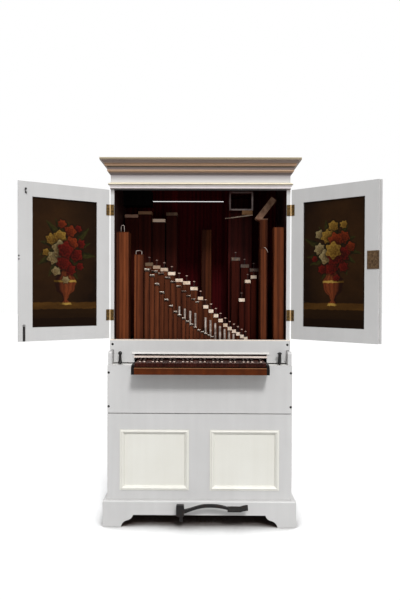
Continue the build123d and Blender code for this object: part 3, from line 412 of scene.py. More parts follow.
def repaint(material, cover):
    """Lay a coat over a finish: cover gets the place, its axes and the colour, and gives the new one."""
    tree = material.node_tree
    shader = next(node for node in tree.nodes if node.type == "BSDF_PRINCIPLED")
    socket = shader.inputs["Base Color"]
    place = here(tree)
    feed(tree, cover(place, axes(place), Signal(tree, socket.links[0].from_socket)), socket)
    return material


print("finish helpers ready")

# %% [markdown]
# The case is painted a cool pale grey. The paint is thin: warm undercoat shows on worn arrises, and grey
# dirt and painted shade sit in the joints. One function makes the grey, the cream of the panels and the
# white of the listel and the stop ledges, because they differ only in colour; that white is partly a painted
# highlight of the light they catch. A paint is four tones: fresh, shaded, undercoat, and dirt and shade.

# %% Painted wood
CASE_PAINT = (tone(204, 203, 202), tone(193, 192, 191), tone(214, 206, 192), tone(108, 102, 98))
CREAM_PAINT = (tone(226, 225, 218), tone(217, 215, 206), tone(214, 200, 176), tone(146, 138, 126))
# The white is lighter than the case paint, as a painted highlight where the listel and ledges catch the
# light.
WHITE_LIT_PAINT = (tone(236, 235, 232), tone(226, 224, 219), tone(214, 200, 172), tone(112, 98, 84))


def painted_wood(name, paint=CASE_PAINT, wear=0.7):
    fresh, shaded, undercoat, dirt_and_shade = paint
    finish = Finish(name, 0.5)
    brush = use(finish.tree, brushed, {"Vector": finish.place})
    colour = dirtied_and_shaded(mix(brush["Cloud"], shaded, fresh), 0.012, 0.75, dirt_and_shade)
    colour = rubbed(colour, 0.0015, 26.0, wear, undercoat)
    return finish.lay(colour, between(brush["Cloud"], 0.0, 1.0, 0.56, 0.42), brush["Ridges"], 0.25, 0.0006)


case_grey = painted_wood("case_grey")
panel_cream = painted_wood("panel_cream", CREAM_PAINT)
listel_white_lit = painted_wood("listel_white_lit", WHITE_LIT_PAINT)
print("painted wood:", case_grey.name, panel_cream.name, listel_white_lit.name)

# %% [markdown]
# The frieze is painted on its face alone. The cornice shades it from above, so a painted shadow darkens it
# towards the cornice; above the bead the paint is a little lighter. The strip under the bead, the underside
# and the back were never painted, and the deep shade they lie in is painted as near black.

# %% Frieze
BARE_SHADOW_BLACK = tone(14, 6, 6)
SKIN = 0.002
BEAD_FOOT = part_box("bead_moulding")[0].z
CORNICE_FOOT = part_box("cornice")[0].z
FRIEZE_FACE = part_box("frieze_board")[0].y
CORNICE_SHADOW_DOWN = 0.038


def frieze_cornice_shadow(at, colour):
    # Painted shadow of the cornice, darkest at its foot.
    cornice_shadow = between(at.z, CORNICE_FOOT - CORNICE_SHADOW_DOWN, CORNICE_FOOT, 0.0, 0.95)
    colour = mix((at.z > BEAD_FOOT) * 0.5, colour, tone(232, 228, 224))
    return mix(cornice_shadow, colour, tone(118, 106, 108))


def frieze_coat(place, at, colour):
    # Painted shade: near black under the bead and behind the face, on the unpainted wood.
    bare = most(at.z < BEAD_FOOT, at.y > FRIEZE_FACE + SKIN)
    return mix(bare, frieze_cornice_shadow(at, colour), BARE_SHADOW_BLACK)


frieze_paint = repaint(painted_wood("frieze_paint", wear=0.3), frieze_coat)
print("frieze ready:", frieze_paint.name)

# %% [markdown]
# A cream line along the top edge of the nameboard is a painted highlight, where that edge catches the
# light. A coat that reads height lays that line along it.

# %% Nameboard
LIT_EDGE_BAND = 0.006
NAMEBOARD_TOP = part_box("nameboard")[1].z


def nameboard_lit_edge(place, at, colour):
    # Painted highlight: a cream line along the top edge.
    edge = between(at.z, NAMEBOARD_TOP - LIT_EDGE_BAND, NAMEBOARD_TOP - LIT_EDGE_BAND * 0.6, 0.0, 0.85)
    return mix(edge, colour, tone(244, 230, 214))


nameboard_paint = repaint(painted_wood("nameboard_paint"), nameboard_lit_edge)
print("nameboard ready:", nameboard_paint.name)

# %% [markdown]
# The side boards are painted outside and on their front edges, but inside the pipe chamber they were left
# as dark wood. The same board shows both, so its material asks where a point is: between the boards and
# behind the nameboard the paint gives way to bare wood. Right under the bead, where it crosses the front
# edges, a painted shadow browns the paint, and above the bead they share the frieze's painted cornice
# shadow.

# %% Side boards, painted outside and bare inside
INNER_FACE = 0.4803
CHAMBER_FRONT = 0.1
BEAD_SHADOW_DOWN = 0.034


def side_board_coat(place, at, colour):
    # Painted shadow in brown right under the bead; above it, the frieze's painted cornice shadow.
    bead_shadow = between(at.z, BEAD_FOOT - BEAD_SHADOW_DOWN, BEAD_FOOT, 0.0, 0.85) * (at.z < BEAD_FOOT)
    colour = mix(bead_shadow, frieze_cornice_shadow(at, colour), tone(62, 42, 34))
    inside = (abs(at.x - CASE_MIDDLE) < INNER_FACE) * (at.y > FRONT_FACE + CHAMBER_FRONT)
    bare = use(colour.tree, grain, {
        "Vector": place, "Light": tone(50, 17, 13), "Dark": tone(22, 7, 6), "Rings": 9.0})["Color"]
    return mix(inside, colour, bare)


side_board = repaint(painted_wood("side_board"), side_board_coat)
print("side board finish ready")

# %% [markdown]
# The cornice was picked out in two colours: grey-brown hollows, and fillets in a tan that once was gilt.
# The members lie at fixed heights, so a ramp along Z paints each one, and the same heights hold on the
# front and on both returns. The grey foot band and the dark bands under the two tan fillets are painted
# shade. The bead under the frieze is done the same way, with a cream nose, a dark line under it that is
# the painted shade of its undercut, a grey cyma, and a painted shadow along its lowest edge.

# %% Cornice and bead paint
def banded_paint(name, node, steps, undercoat):
    """Paint a moulding in level bands; steps give the share of its height where each colour starts."""
    finish = Finish(name, 0.5)
    low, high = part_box(node)
    band = ramp(between(finish.at.z, low.z, high.z), "CONSTANT", steps)
    brush = use(finish.tree, brushed, {"Vector": finish.place})
    colour = dirtied_and_shaded(mix(brush["Cloud"] * 0.2, band, tone(120, 108, 100)), 0.01, 0.9, tone(62, 54, 50))
    return finish.lay(rubbed(colour, 0.0015, 40.0, 0.6, undercoat), None, brush["Ridges"], 0.25, 0.0005)


# The bands starting at 0.0, 0.05 and 0.43 are painted shade: the foot and the hollows under the tan fillets.
cornice_finish = banded_paint("cornice_paint", "cornice", [
    (0.0, tone(130, 120, 118)), (0.05, tone(96, 80, 72)), (0.125, tone(178, 144, 114)),
    (0.285, tone(118, 102, 96)), (0.43, tone(88, 76, 56)), (0.5, tone(188, 150, 118)),
    (0.68, tone(144, 126, 116)), (0.87, tone(132, 120, 94)), (0.945, tone(186, 172, 142))],
    tone(192, 170, 140))
# The bands starting at 0.0 and 0.59 are painted shade: along the lowest edge and under the cream nose.
bead_finish = banded_paint("bead_paint", "bead_moulding", [
    (0.0, tone(62, 54, 54)), (0.1, tone(238, 230, 230)), (0.42, tone(250, 241, 237)),
    (0.59, tone(92, 80, 48)), (0.69, tone(240, 230, 202)), (0.95, tone(220, 200, 170))],
    tone(232, 214, 180))
print("moulding paints ready")

# %% [markdown]
# The pipes are oiled pine and oak, some fresh and some nearly black. A slow noise that changes across the
# organ but not up it gives each pipe a tone of its own. The ranks at the back are darkened as painted shade
# of the deep chamber, and the arrises of the pipes are painted dark as the shade in the gaps between them.
# The back boards and the rails are the same kind of wood in other colours, turned so that the grain runs
# along each board. The back boards are crimson only in the chamber; outside they are plain.

# %% Bare and stained wood
DUST = tone(120, 104, 92)
# Near black, used for painted shade and for soot.
SHADE_AND_SOOT = tone(15, 5, 5)
DEPTH_SHADE_STARTS, DEPTH_SHADE_DEEPEST = FRONT_FACE + 0.16, FRONT_FACE + 0.42
ARRIS_SHADE = 0.008
ACROSS = (0, QUARTER, 0)
INTO = (QUARTER, 0, 0)
CASE_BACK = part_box("upper_back")[1].y


def bare_wood(name, light, dark, stain, turn=(0, 0, 0), rings=9.0, gloss=0.5, variety=0.6, dust=0.0,
              mirror=0.15, depth_shade=0.0, arris_shade=0.0, pieces=(23.0, 11.0, 0.15)):
    """Wood colours and grain, how each piece differs and gathers dust, and painted shade at depth and
    arrises.
    """
    finish = Finish(name, gloss, mirror=mirror)
    tree, place = finish.tree, finish.place
    wood = use(tree, grain, {
        "Vector": stretched(place, turn=turn), "Light": light, "Dark": dark, "Rings": rings})
    each = noise(stretched(place, pieces), 1.0, 2.0)
    colour = mix(between(each, 0.35, 0.65, 0.0, variety), wood["Color"], stain)
    if arris_shade:
        # Painted shade between the pipes: their arrises go dark.
        edge_shade = use(tree, edge_wear, {"Radius": arris_shade, "Amount": 0.9})["Edge"]
        colour = mix(between(edge_shade, 0.0, 0.5), colour, SHADE_AND_SOOT)
    colour = rubbed(colour, 0.0012, 35.0, 0.5, light)
    if depth_shade:
        # Painted shade of the deep chamber: darker towards the back.
        colour = mix(between(finish.at.y, DEPTH_SHADE_STARTS, DEPTH_SHADE_DEEPEST, 0.0, depth_shade), colour, SHADE_AND_SOOT)
    colour = dirtied_and_shaded(colour, 0.018, 0.95, SHADE_AND_SOOT)
    if dust:
        faces_up = axes(made(tree, "ShaderNodeNewGeometry", "Normal")).z
        colour = mix(between(faces_up, 0.6, 1.0, 0.0, dust), colour, DUST)
    roughness = between(wood["Height"], 0.0, 0.7, gloss + 0.08, gloss - 0.08)
    return finish.lay(colour, roughness, wood["Height"], 0.35, 0.0006)


def back_coat(place, at, colour):
    plain = use(colour.tree, grain, {
        "Vector": place, "Light": tone(126, 84, 54), "Dark": tone(74, 46, 30), "Rings": 12.0})["Color"]
    return mix(at.y > CASE_BACK - SKIN, colour, plain)


pipe_wood = bare_wood("pipe_wood", tone(128, 70, 42), tone(48, 21, 13), tone(42, 17, 11),
                      dust=0.3, mirror=0.03, depth_shade=0.6, arris_shade=ARRIS_SHADE)
tall_pipe_wood = bare_wood("tall_pipe_wood", tone(130, 70, 40), tone(46, 21, 14), tone(46, 21, 17),
                           rings=16.0, variety=0.7, mirror=0.02, depth_shade=0.5, arris_shade=ARRIS_SHADE,
                           pieces=(58.0, 11.0, 0.25))
dark_pipe_wood = bare_wood("dark_pipe_wood", tone(92, 36, 24), tone(40, 13, 9), tone(27, 9, 8),
                           dust=0.25, mirror=0.02, depth_shade=0.42, arris_shade=ARRIS_SHADE)
back_wood = repaint(bare_wood("back_wood", tone(84, 12, 16), tone(30, 4, 6), tone(20, 3, 4), rings=12.0,
                              gloss=0.8, mirror=0.04), back_coat)
black_wood = bare_wood("black_wood", tone(16, 11, 10), tone(8, 6, 5), tone(5, 4, 4), gloss=0.75,
                       mirror=0.05)
shelf_wood = bare_wood("shelf_wood", tone(120, 84, 54), tone(74, 46, 30), tone(58, 36, 24), ACROSS)
stem_wood = bare_wood("stem_wood", tone(46, 24, 20), tone(26, 13, 11), tone(18, 9, 8), gloss=0.6)
# The batten is near white: pale wood, lightened as a painted highlight of its lit top face.
pale_lit_batten = bare_wood("pale_lit_batten", tone(250, 236, 226), tone(226, 206, 194), tone(216, 194, 180),
                        ACROSS, gloss=0.42, variety=0.3, mirror=0.3)
print("wood finishes ready")

# %% [markdown]
# The key rail is a strip of amber stained wood. A paler line along its top edge is a painted highlight,
# where that edge catches the light, and a mask on height keeps it there.

# %% Key rail
RAIL_HIGHLIGHT_BAND = 0.0024
RAIL_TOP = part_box("key_slip")[1].z


def rail_highlight_coat(place, at, colour):
    # Painted highlight along the rail's top edge.
    rail_highlight = between(at.z, RAIL_TOP - RAIL_HIGHLIGHT_BAND, RAIL_TOP - RAIL_HIGHLIGHT_BAND * 0.5, 0.0, 0.9)
    return mix(rail_highlight, colour, tone(158, 112, 78))


amber_rail = repaint(bare_wood("amber_rail", tone(98, 44, 12), tone(52, 21, 5), tone(42, 15, 4), ACROSS,
                               rings=5.0, gloss=0.42, variety=0.45, mirror=0.1), rail_highlight_coat)
print("key rail:", amber_rail.name)

# %% [markdown]
# Two pieces in the chamber were never stained. The big mitred pipe shows the raw ends of its boards round
# its mouth, and the block and the lath that hold it up are raw too. The slanting limb at the upper right is
# an old grey-brown repair, on a pipe whose upper half is darker. These are coats on height and depth over
# the wood they belong to.

# %% Raw wood in the chamber
MITRE_LOW, MITRE_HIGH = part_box("right_mitred_pipe")
MITRE_MOUTH = 0.112
PROP_TALL = 0.025
RAW_DEEP = 0.003
TOP_SHADE = (MITRE_HIGH.z - 0.04, MITRE_HIGH.z - 0.006)
LEFT_SHADE = (MITRE_HIGH.x - 0.136, MITRE_HIGH.x - 0.12)
SLANT_STARTS = 1.686
SLANT_FADES = 0.012
SLANT_ACROSS = 0.2
MENDED_ACROSS, MENDED_HALF, MENDED_UP = 0.36, 0.035, 1.518


def mitre_coat(place, at, colour):
    mouth_foot = MITRE_HIGH.z - MITRE_MOUTH
    rough = between(noise(place, 90.0, 4.0), 0.3, 0.7, 0.55, 1.0)
    raw = mix(at.z < mouth_foot - PROP_TALL, tone(176, 132, 92), tone(206, 182, 160))
    raw = mix(at.z > mouth_foot, raw, tone(182, 166, 160))
    shown = rough * between(at.z, *TOP_SHADE, 1.0, 0.25) * between(at.x, *LEFT_SHADE, 0.5, 1.0)
    return mix((at.y < MITRE_LOW.y + RAW_DEEP) * shown, colour, raw)


def slant_coat(place, at, colour):
    on_pipe = abs(at.x - (CASE_MIDDLE + MENDED_ACROSS)) < MENDED_HALF
    colour = mix(on_pipe * ((at.z > MENDED_UP) * 0.45), colour, SHADE_AND_SOOT)
    above = between(at.z, SLANT_STARTS, SLANT_STARTS + SLANT_FADES, 0.0, 0.75)
    on_limb = (at.x > CASE_MIDDLE + SLANT_ACROSS) * above
    worn = between(noise(place, 40.0, 4.0), 0.3, 0.7)
    return mix(on_limb, colour, mix(worn, tone(112, 84, 68), tone(168, 134, 110)))


mitred_wood = bare_wood("mitred_wood", tone(84, 28, 22), tone(34, 10, 9), tone(24, 8, 7), mirror=0.05)
repaint(mitred_wood, mitre_coat)
repaint(tall_pipe_wood, slant_coat)
print("raw wood:", mitred_wood.name)

# %% [markdown]
# The naturals are covered in a dark hard wood, polished by fingers. The sharps are stained black, but each
# has a small bone facing on its sloping front. The sharps all start at the same depth and stand equally
# high, so the facing is a mask on Y and Z.

# %% Key coverings
FACING_DEEP = 0.0055
FACING_LOW, FACING_HIGH = 0.0096, 0.0056

ebony_keys = bare_wood("ebony_keys", tone(82, 38, 28), tone(34, 14, 10), tone(24, 10, 8), INTO, rings=14.0,
                       gloss=0.42, variety=0.5, mirror=0.06)
block_black = bare_wood("block_black", tone(16, 11, 10), tone(8, 6, 6), tone(5, 4, 4), INTO, gloss=0.5)


def bone_faced():
    finish = Finish("bone_faced_sharps", 0.5, mirror=0.03)
    tree, place, at = finish.tree, finish.place, finish.at
    low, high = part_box("sharp_keys")
    pores = noise(stretched(place, (1.0, 0.08, 1.0)), 420.0, 3.0)
    age = between(noise(place, 30.0, 3.0), 0.35, 0.65)
    colour = mix(age, tone(226, 206, 194), tone(196, 172, 156))
    colour = mix(between(pores, 0.6, 0.72), colour, tone(176, 150, 122))
    colour = dirtied_and_shaded(colour, 0.006, 0.8, tone(92, 70, 56))
    behind = most(most(at.y > low.y + FACING_DEEP, at.z < high.z - FACING_LOW), at.z > high.z - FACING_HIGH)
    black = use(tree, grain, {
        "Vector": stretched(place, turn=INTO), "Light": tone(46, 26, 20), "Dark": tone(20, 11, 8),
        "Rings": 14.0})["Color"]
    return finish.lay(mix(behind, colour, black), None, pores, 0.2, 0.0003)


sharp_finish = bone_faced()
print("keys:", ebony_keys.name, sharp_finish.name)

# %% [markdown]
# Stopper heads are capped in pale leather gone cream with age. Steps along X dim the ones at the bass end
# to brown, and those of the far rank are darkened as painted shade of the deep chamber.

# %% Leather caps
DARKEST_CAP, DIMMED_CAP = tone(96, 76, 56), tone(158, 130, 108)
FAR_RANK = 0.35
REAR_SEAMS = (-0.385, -0.295, -0.215)
REAR_SHADES = (tone(178, 136, 116), tone(132, 92, 62), tone(244, 214, 190), tone(76, 50, 32))


def leather_caps(name, dims, far_shade=0.0):
    """Cream leather; dims lists (up to here along X from the case middle, colour, depth of that colour)."""
    finish = Finish(name, 0.7, mirror=0.2)
    place, at = finish.place, finish.at
    each = noise(stretched(place, (21.0, 9.0, 0.4)), 1.0, 2.0)
    colour = mix(between(each, 0.35, 0.65), tone(240, 222, 204), tone(214, 188, 162))
    for until, shade, depth in dims:
        colour = mix((at.x < CASE_MIDDLE + until) * depth, colour, shade)
    if far_shade:
        # Painted shade: the caps of the far rank are darker.
        colour = mix((at.y > FRONT_FACE + FAR_RANK) * far_shade, colour, tone(52, 38, 34))
    colour = mix(between(noise(place, 60.0, 4.0), 0.5, 0.75, 0.0, 0.6), colour, tone(150, 120, 92))
    colour = dirtied_and_shaded(colour, 0.012, 0.8, tone(70, 50, 38))
    return finish.lay(colour, None, noise(place, 420.0, 2.0, 0.6), 0.4, 0.0005)


cap_leather = leather_caps("cap_leather", [
    (-0.189, DIMMED_CAP, 0.4), (-0.231, DIMMED_CAP, 0.85), (-0.277, DARKEST_CAP, 0.9)])
right_leather = leather_caps("right_leather", [], far_shade=0.93)
rear_leather = leather_caps("rear_leather", [(1.0, REAR_SHADES[3], 0.95)] + [
    (REAR_SEAMS[index], REAR_SHADES[index], 0.95) for index in (2, 1, 0)])
print("leather caps ready")

# %% [markdown]
# The flaps of the open pipes are new lead, coloured near white, partly for the pale metal and partly as a
# painted highlight of the light they catch from above. The small metal pipes are tin, dull grey with
# scratches and darker clouds of tarnish. The two metals share no colours, so each has a short function of
# its own. Some flaps of the second row have stained, and a noise across the organ picks which.

# %% Lead and tin
SECOND_RANK = 0.17


def lead_with_highlight():
    finish = Finish("lead_with_highlight", 0.45, mirror=0.4)
    place, at = finish.place, finish.at
    cloud = between(noise(place, 60.0, 4.0), 0.35, 0.7)
    # Near white: the lead's pale colour with a painted highlight in it.
    colour = mix(cloud, tone(255, 246, 232), tone(232, 212, 190))
    each = noise(stretched(place, (34.0, 1.0, 0.1)), 1.0, 1.0)
    stained = (at.y > FRONT_FACE + SECOND_RANK) * between(each, 0.42, 0.52, 0.0, 0.85)
    colour = mix(stained, colour, tone(96, 64, 48))
    return finish.lay(colour, between(cloud, 0.0, 1.0, 0.4, 0.6), noise(place, 300.0), 0.2, 0.0003)


def pipe_metal():
    finish = Finish("pipe_metal", 0.4, 0.7)
    place = finish.place
    tarnish = between(noise(place, 38.0, 5.0, 0.6), 0.38, 0.66)
    colour = mix(tarnish, tone(196, 182, 172), tone(112, 98, 90))
    colour = dirtied_and_shaded(colour, 0.01, 0.6, tone(48, 38, 32))
    scratches = noise(stretched(place, (1.0, 1.0, 0.03)), 700.0, 2.0)
    return finish.lay(colour, between(tarnish, 0.0, 1.0, 0.32, 0.6), scratches, 0.2, 0.0002)


lead_flap = lead_with_highlight()
tin_and_lead = pipe_metal()
print("metals ready:", lead_flap.name, tin_and_lead.name)

# %% [markdown]
# Ironwork is forged, blackened and waxed. Hammer marks are wide shallow dents, so one coarse Voronoi sets
# the shape and a fine noise the scale on it; a little rust stands in the hollows. The hinges are brass that
# has dulled, with a painted glint of pale brass along each barrel where the leaves turn, and the lock has
# gone nearly brown.

# %% Iron and brass
PIN_HALF = 0.0036


def forged_iron():
    finish = Finish("black_iron", 0.45, 0.6)
    place = finish.place
    dents = made(finish.tree, "ShaderNodeTexVoronoi", "Distance", {"Vector": place, "Scale": 90.0},
                 feature="SMOOTH_F1")
    scale = noise(place, 340.0, 4.0, 0.6)
    colour = mix(scale, tone(24, 23, 24), tone(46, 44, 44))
    colour = mix(between(noise(place, 55.0, 5.0, 0.65), 0.55, 0.72, 0.0, 0.5), colour, tone(74, 46, 32))
    colour = rubbed(colour, 0.0012, 60.0, 0.8, tone(112, 108, 106))
    return finish.lay(colour, between(scale, 0.3, 0.7, 0.36, 0.6), scale * 0.3 + dents, 0.35, 0.0008)


def old_brass(name, bright, dull):
    finish = Finish(name, 0.42, 0.75)
    patina = between(noise(finish.place, 110.0, 5.0, 0.62), 0.35, 0.65)
    colour = dirtied_and_shaded(mix(patina, bright, dull), 0.006, 0.8, tone(40, 32, 22))
    colour = rubbed(colour, 0.001, 50.0, 0.5, bright)
    return finish.lay(colour, between(patina, 0.0, 1.0, 0.34, 0.58), patina, 0.2, 0.0003)


def pin_glints(place, at, colour):
    for name in ("left_door_hinge", "right_door_hinge"):
        # Painted glint: a pale brass strip along each hinge barrel.
        colour = mix(abs(at.x - joints[name]["pos_m"][0]) < PIN_HALF, colour, tone(214, 180, 130))
    return colour


black_iron = forged_iron()
brass = repaint(old_brass("old_brass", tone(112, 84, 40), tone(38, 28, 13)), pin_glints)
lock_brown = old_brass("lock_brown", tone(112, 88, 62), tone(66, 48, 32))
print("iron and brass ready")

# %% [markdown]
# The door panels are painted in oils: an urn of flowers on a stone ledge against a dark olive wall. A
# flower is drawn from its polar coordinates: the distance from the heart against a lobed edge says where
# the paint lies, and rings bent by the same lobes give the shadows between the petals. Each brush form is
# one group that lays its colour over the colour it is given, so a bouquet is a chain of them.

# %% Brush form: flower
FORM_PLACE = [("Across", "Float", 0.0), ("Up", "Float", 0.0), ("From Across", "Float", 0.0),
              ("From Up", "Float", 0.0), ("Turn", "Float", 0.0)]
FORM_PAINT = [("Light", "Color", None), ("Dark", "Color", None), ("Under", "Color", None)]


def brush_form(name, sizes):
    """Start a group that paints one form; sizes are its own inputs with their usual values."""
    own = [(label, "Float", value) for label, value in sizes]
    return effect(name, FORM_PLACE + own + FORM_PAINT, [("Color", "Color")])


LOBE_DEPTH, EDGE_AT = 0.12, 0.86
RINGS, RINGS_BENT, RINGS_DEEP = 13.0, 1.6, 0.24

bloom, got, end = brush_form("painted_bloom", [("Radius", 0.04), ("Petals", 6.0)])
dx = (got["Across"] - got["From Across"]) / got["Radius"]
dz = (got["Up"] - got["From Up"]) / got["Radius"]
reach = calc("SQRT", dx * dx + dz * dz)
lobes = calc("COSINE", (calc("ARCTAN2", dz, dx) + got["Turn"]) * got["Petals"])
beyond = reach - (lobes * LOBE_DEPTH + EDGE_AT)
rings = calc("SINE", reach * RINGS + lobes * RINGS_BENT)
shade = (rings * RINGS_DEEP + 0.62) * (reach * 0.55 + 0.4)
petal = mix(capped(shade + (dz - dx) * 0.26), got["Dark"], got["Light"])
under = mix(between(beyond, 0.0, 0.35, 0.65, 0.0), got["Under"], tone(14, 10, 7))
give(end, Color=mix(between(beyond, -0.07, 0.0, 1.0, 0.0), under, petal))
print("brush form:", bloom.name)

# %% [markdown]
# A leaf is measured along its midrib and off it. It is as wide at each point as a parabola says, it droops
# a little towards its tip, and its ribs are a sine along it.

# %% Brush form: leaf
DROOP = 0.16
RIBS, RIBS_SLANT, RIBS_DEEP = 34.0, 5.0, 0.1

leaf, got, end = brush_form("painted_leaf", [("Length", 0.1), ("Width", 0.02)])
dx, dz = got["Across"] - got["From Across"], got["Up"] - got["From Up"]
cosine, sine = calc("COSINE", got["Turn"]), calc("SINE", got["Turn"])
along = (dx * cosine + dz * sine) / got["Length"]
droop = along * along * (got["Length"] * DROOP)
side = (dz * cosine - dx * sine + droop) / got["Width"]
half = abs(side)
covers = between(half - along * (1.0 - along) * 4.0, -0.16, 0.0, 1.0, 0.0)
ribs = calc("SINE", along * RIBS + half * RIBS_SLANT) * RIBS_DEEP
middle_rib = between(half, 0.0, 0.14, 0.45, 0.0)
shade = capped(between(side, -0.8, 0.8, 0.08, 0.75) + (ribs + middle_rib))
give(end, Color=mix(covers, got["Under"], mix(shade, got["Dark"], got["Light"])))
print("brush form:", leaf.name)

# %% [markdown]
# The urn is a turned shape, so its outline is a ramp from foot to rim. How far round the body a point lies
# gives both the shine on its left and the flutes, which crowd together towards the sides.

# %% Brush form: urn
URN_PROFILE = [(0.0, 0.56), (0.06, 0.5), (0.13, 0.2), (0.2, 0.28), (0.42, 0.86), (0.62, 1.0), (0.8, 0.66),
               (0.9, 0.46), (1.0, 0.66)]
HOOP_AT, HOOP_HALF, RIM, FOOT = 0.62, 0.03, 0.955, 0.06
SHINE_LEFT, FLUTES = 0.35, 13.0

urn, got, end = brush_form("painted_urn", [("Height", 0.2), ("Half Width", 0.06)])
rise = (got["Up"] - got["From Up"]) / got["Height"]
outline = ramp(rise, "EASE", [(share, (width, width, width, 1.0)) for share, width in URN_PROFILE])
round_at = (got["Across"] - got["From Across"]) / (outline * got["Half Width"])
inside = between(abs(round_at), 0.94, 1.0, 1.0, 0.0) * ((rise > 0.0) * (rise < 1.0))
turned = round_at + SHINE_LEFT
shine = capped(1.0 - turned * turned)
fluting = between(calc("SINE", calc("ARCSINE", round_at) * FLUTES), -0.2, 0.6, 0.0, 0.35)
clay = mix(fluting, mix(shine, got["Dark"], got["Light"]), got["Dark"])
hoops = most(most(abs(rise - HOOP_AT) < HOOP_HALF, rise > RIM), rise < FOOT)
gilt = mix(shine, tone(92, 66, 24), tone(206, 164, 78))
give(end, Color=mix(inside, got["Under"], mix(hoops, clay, gilt)))
print("brush form:", urn.name)

# %% [markdown]
# The panel stands at an angle to the frame's axes, so a Mapping node first undoes the door's turn. After
# that X runs across the panel from its hinge side, Z runs up and Y runs through it, so one comparison keeps
# the outer face plain grey. A slow wobble of the place takes the ruled look off every edge.

# %% Painted door panels: the ground
PANEL_MIDDLE = 0.25175
PANEL_CORE = -0.0135
LEDGE_TOP = 1.212
LEDGE_BANDS = ((1.176, 0.85), (1.150, 0.2), (1.128, 0.9))
SOFT_EDGE = 0.002
WOBBLE = 0.012
GLOW_ASIDE, GLOW_UP, GLOW_WIDE, GLOW_TALL = 0.05, 1.5, 0.2, 0.36


def vector_sum(operation, a, b):
    return made(a.tree, "ShaderNodeVectorMath", "Vector", {0: a, 1: b}, operation=operation)


def wobbled(local):
    """Shift a place by noise, as a brush in the hand does."""
    tremble = vector_sum("SUBTRACT", noise(local, 55.0, 3.0, output="Color"), (0.5, 0.5, 0.5))
    return vector_sum("ADD", local, vector_sum("MULTIPLY", tremble, (WOBBLE, WOBBLE, WOBBLE)))


def painted_ground(local, across, up):
    """A dark olive wall, lighter behind the flowers, and a stone ledge with its mouldings."""
    aside = (across - (PANEL_MIDDLE + GLOW_ASIDE)) / GLOW_WIDE
    above = (up - GLOW_UP) / GLOW_TALL
    far = aside * aside + above * above + (noise(local, 8.0, 6.0, 0.6) - 0.5) * 2.0
    colour = mix(between(far, 0.0, 1.5, 1.0, 0.0), tone(20, 11, 6), tone(58, 36, 16))
    stone = mix(noise(stretched(local, (0.25, 1.0, 1.0)), 30.0, 4.0), tone(112, 76, 30), tone(48, 28, 11))
    colour = mix(between(up, LEDGE_TOP - SOFT_EDGE, LEDGE_TOP + SOFT_EDGE, 1.0, 0.0), colour, stone)
    for band_top, depth in LEDGE_BANDS:
        band = between(up, band_top - SOFT_EDGE, band_top + SOFT_EDGE, depth, 0.0)
        colour = mix(band, colour, tone(22, 12, 6))
    return colour


print("ledge at", LEDGE_TOP)

# %% [markdown]
# The flowers follow the golden angle, as seeds do in a sunflower: every next one turns 137.5 degrees on and
# lies a little further out, which fills the bunch without rows. Small ones are painted first, the large
# ones over them. Then a brown varnish goes over all of it, and the outer face gets the grey of the case.

# %% Painted door panels: leaves, urn and flowers
URN_HEIGHT, URN_HALF, URN_SUNK = 0.205, 0.062, 0.014
BUNCH_HEART = LEDGE_TOP + URN_HEIGHT + 0.075
GOLDEN_ANGLE = math.radians(137.5)
LEAVES, FLOWERS = 13, 17
LEAF_LONG, LEAF_WIDE = (0.12, 0.17), (0.014, 0.02)
ROOTS_ASIDE, ROOTS_UP = 0.02, 0.03
BLOOM_SPACING, BLOOM_SIZE, BLOOM_SHRINK = 0.031, 0.049, 0.0018
BUNCH_WIDE, BUNCH_TALL = 0.9, 1.3
TURN_SPREAD, SIZE_SPREAD = 0.15, 0.003
VARNISH_DEPTH = 0.42
CRIMSON = (tone(128, 30, 22), tone(42, 7, 7))
SAFFRON = (tone(178, 138, 60), tone(84, 52, 14))
IVORY = (tone(186, 166, 118), tone(92, 68, 36))
RUSSET = (tone(152, 60, 28), tone(58, 16, 8))
OLIVE = (tone(66, 64, 26), tone(18, 19, 8))
CLAY = (tone(136, 66, 36), tone(36, 15, 10))


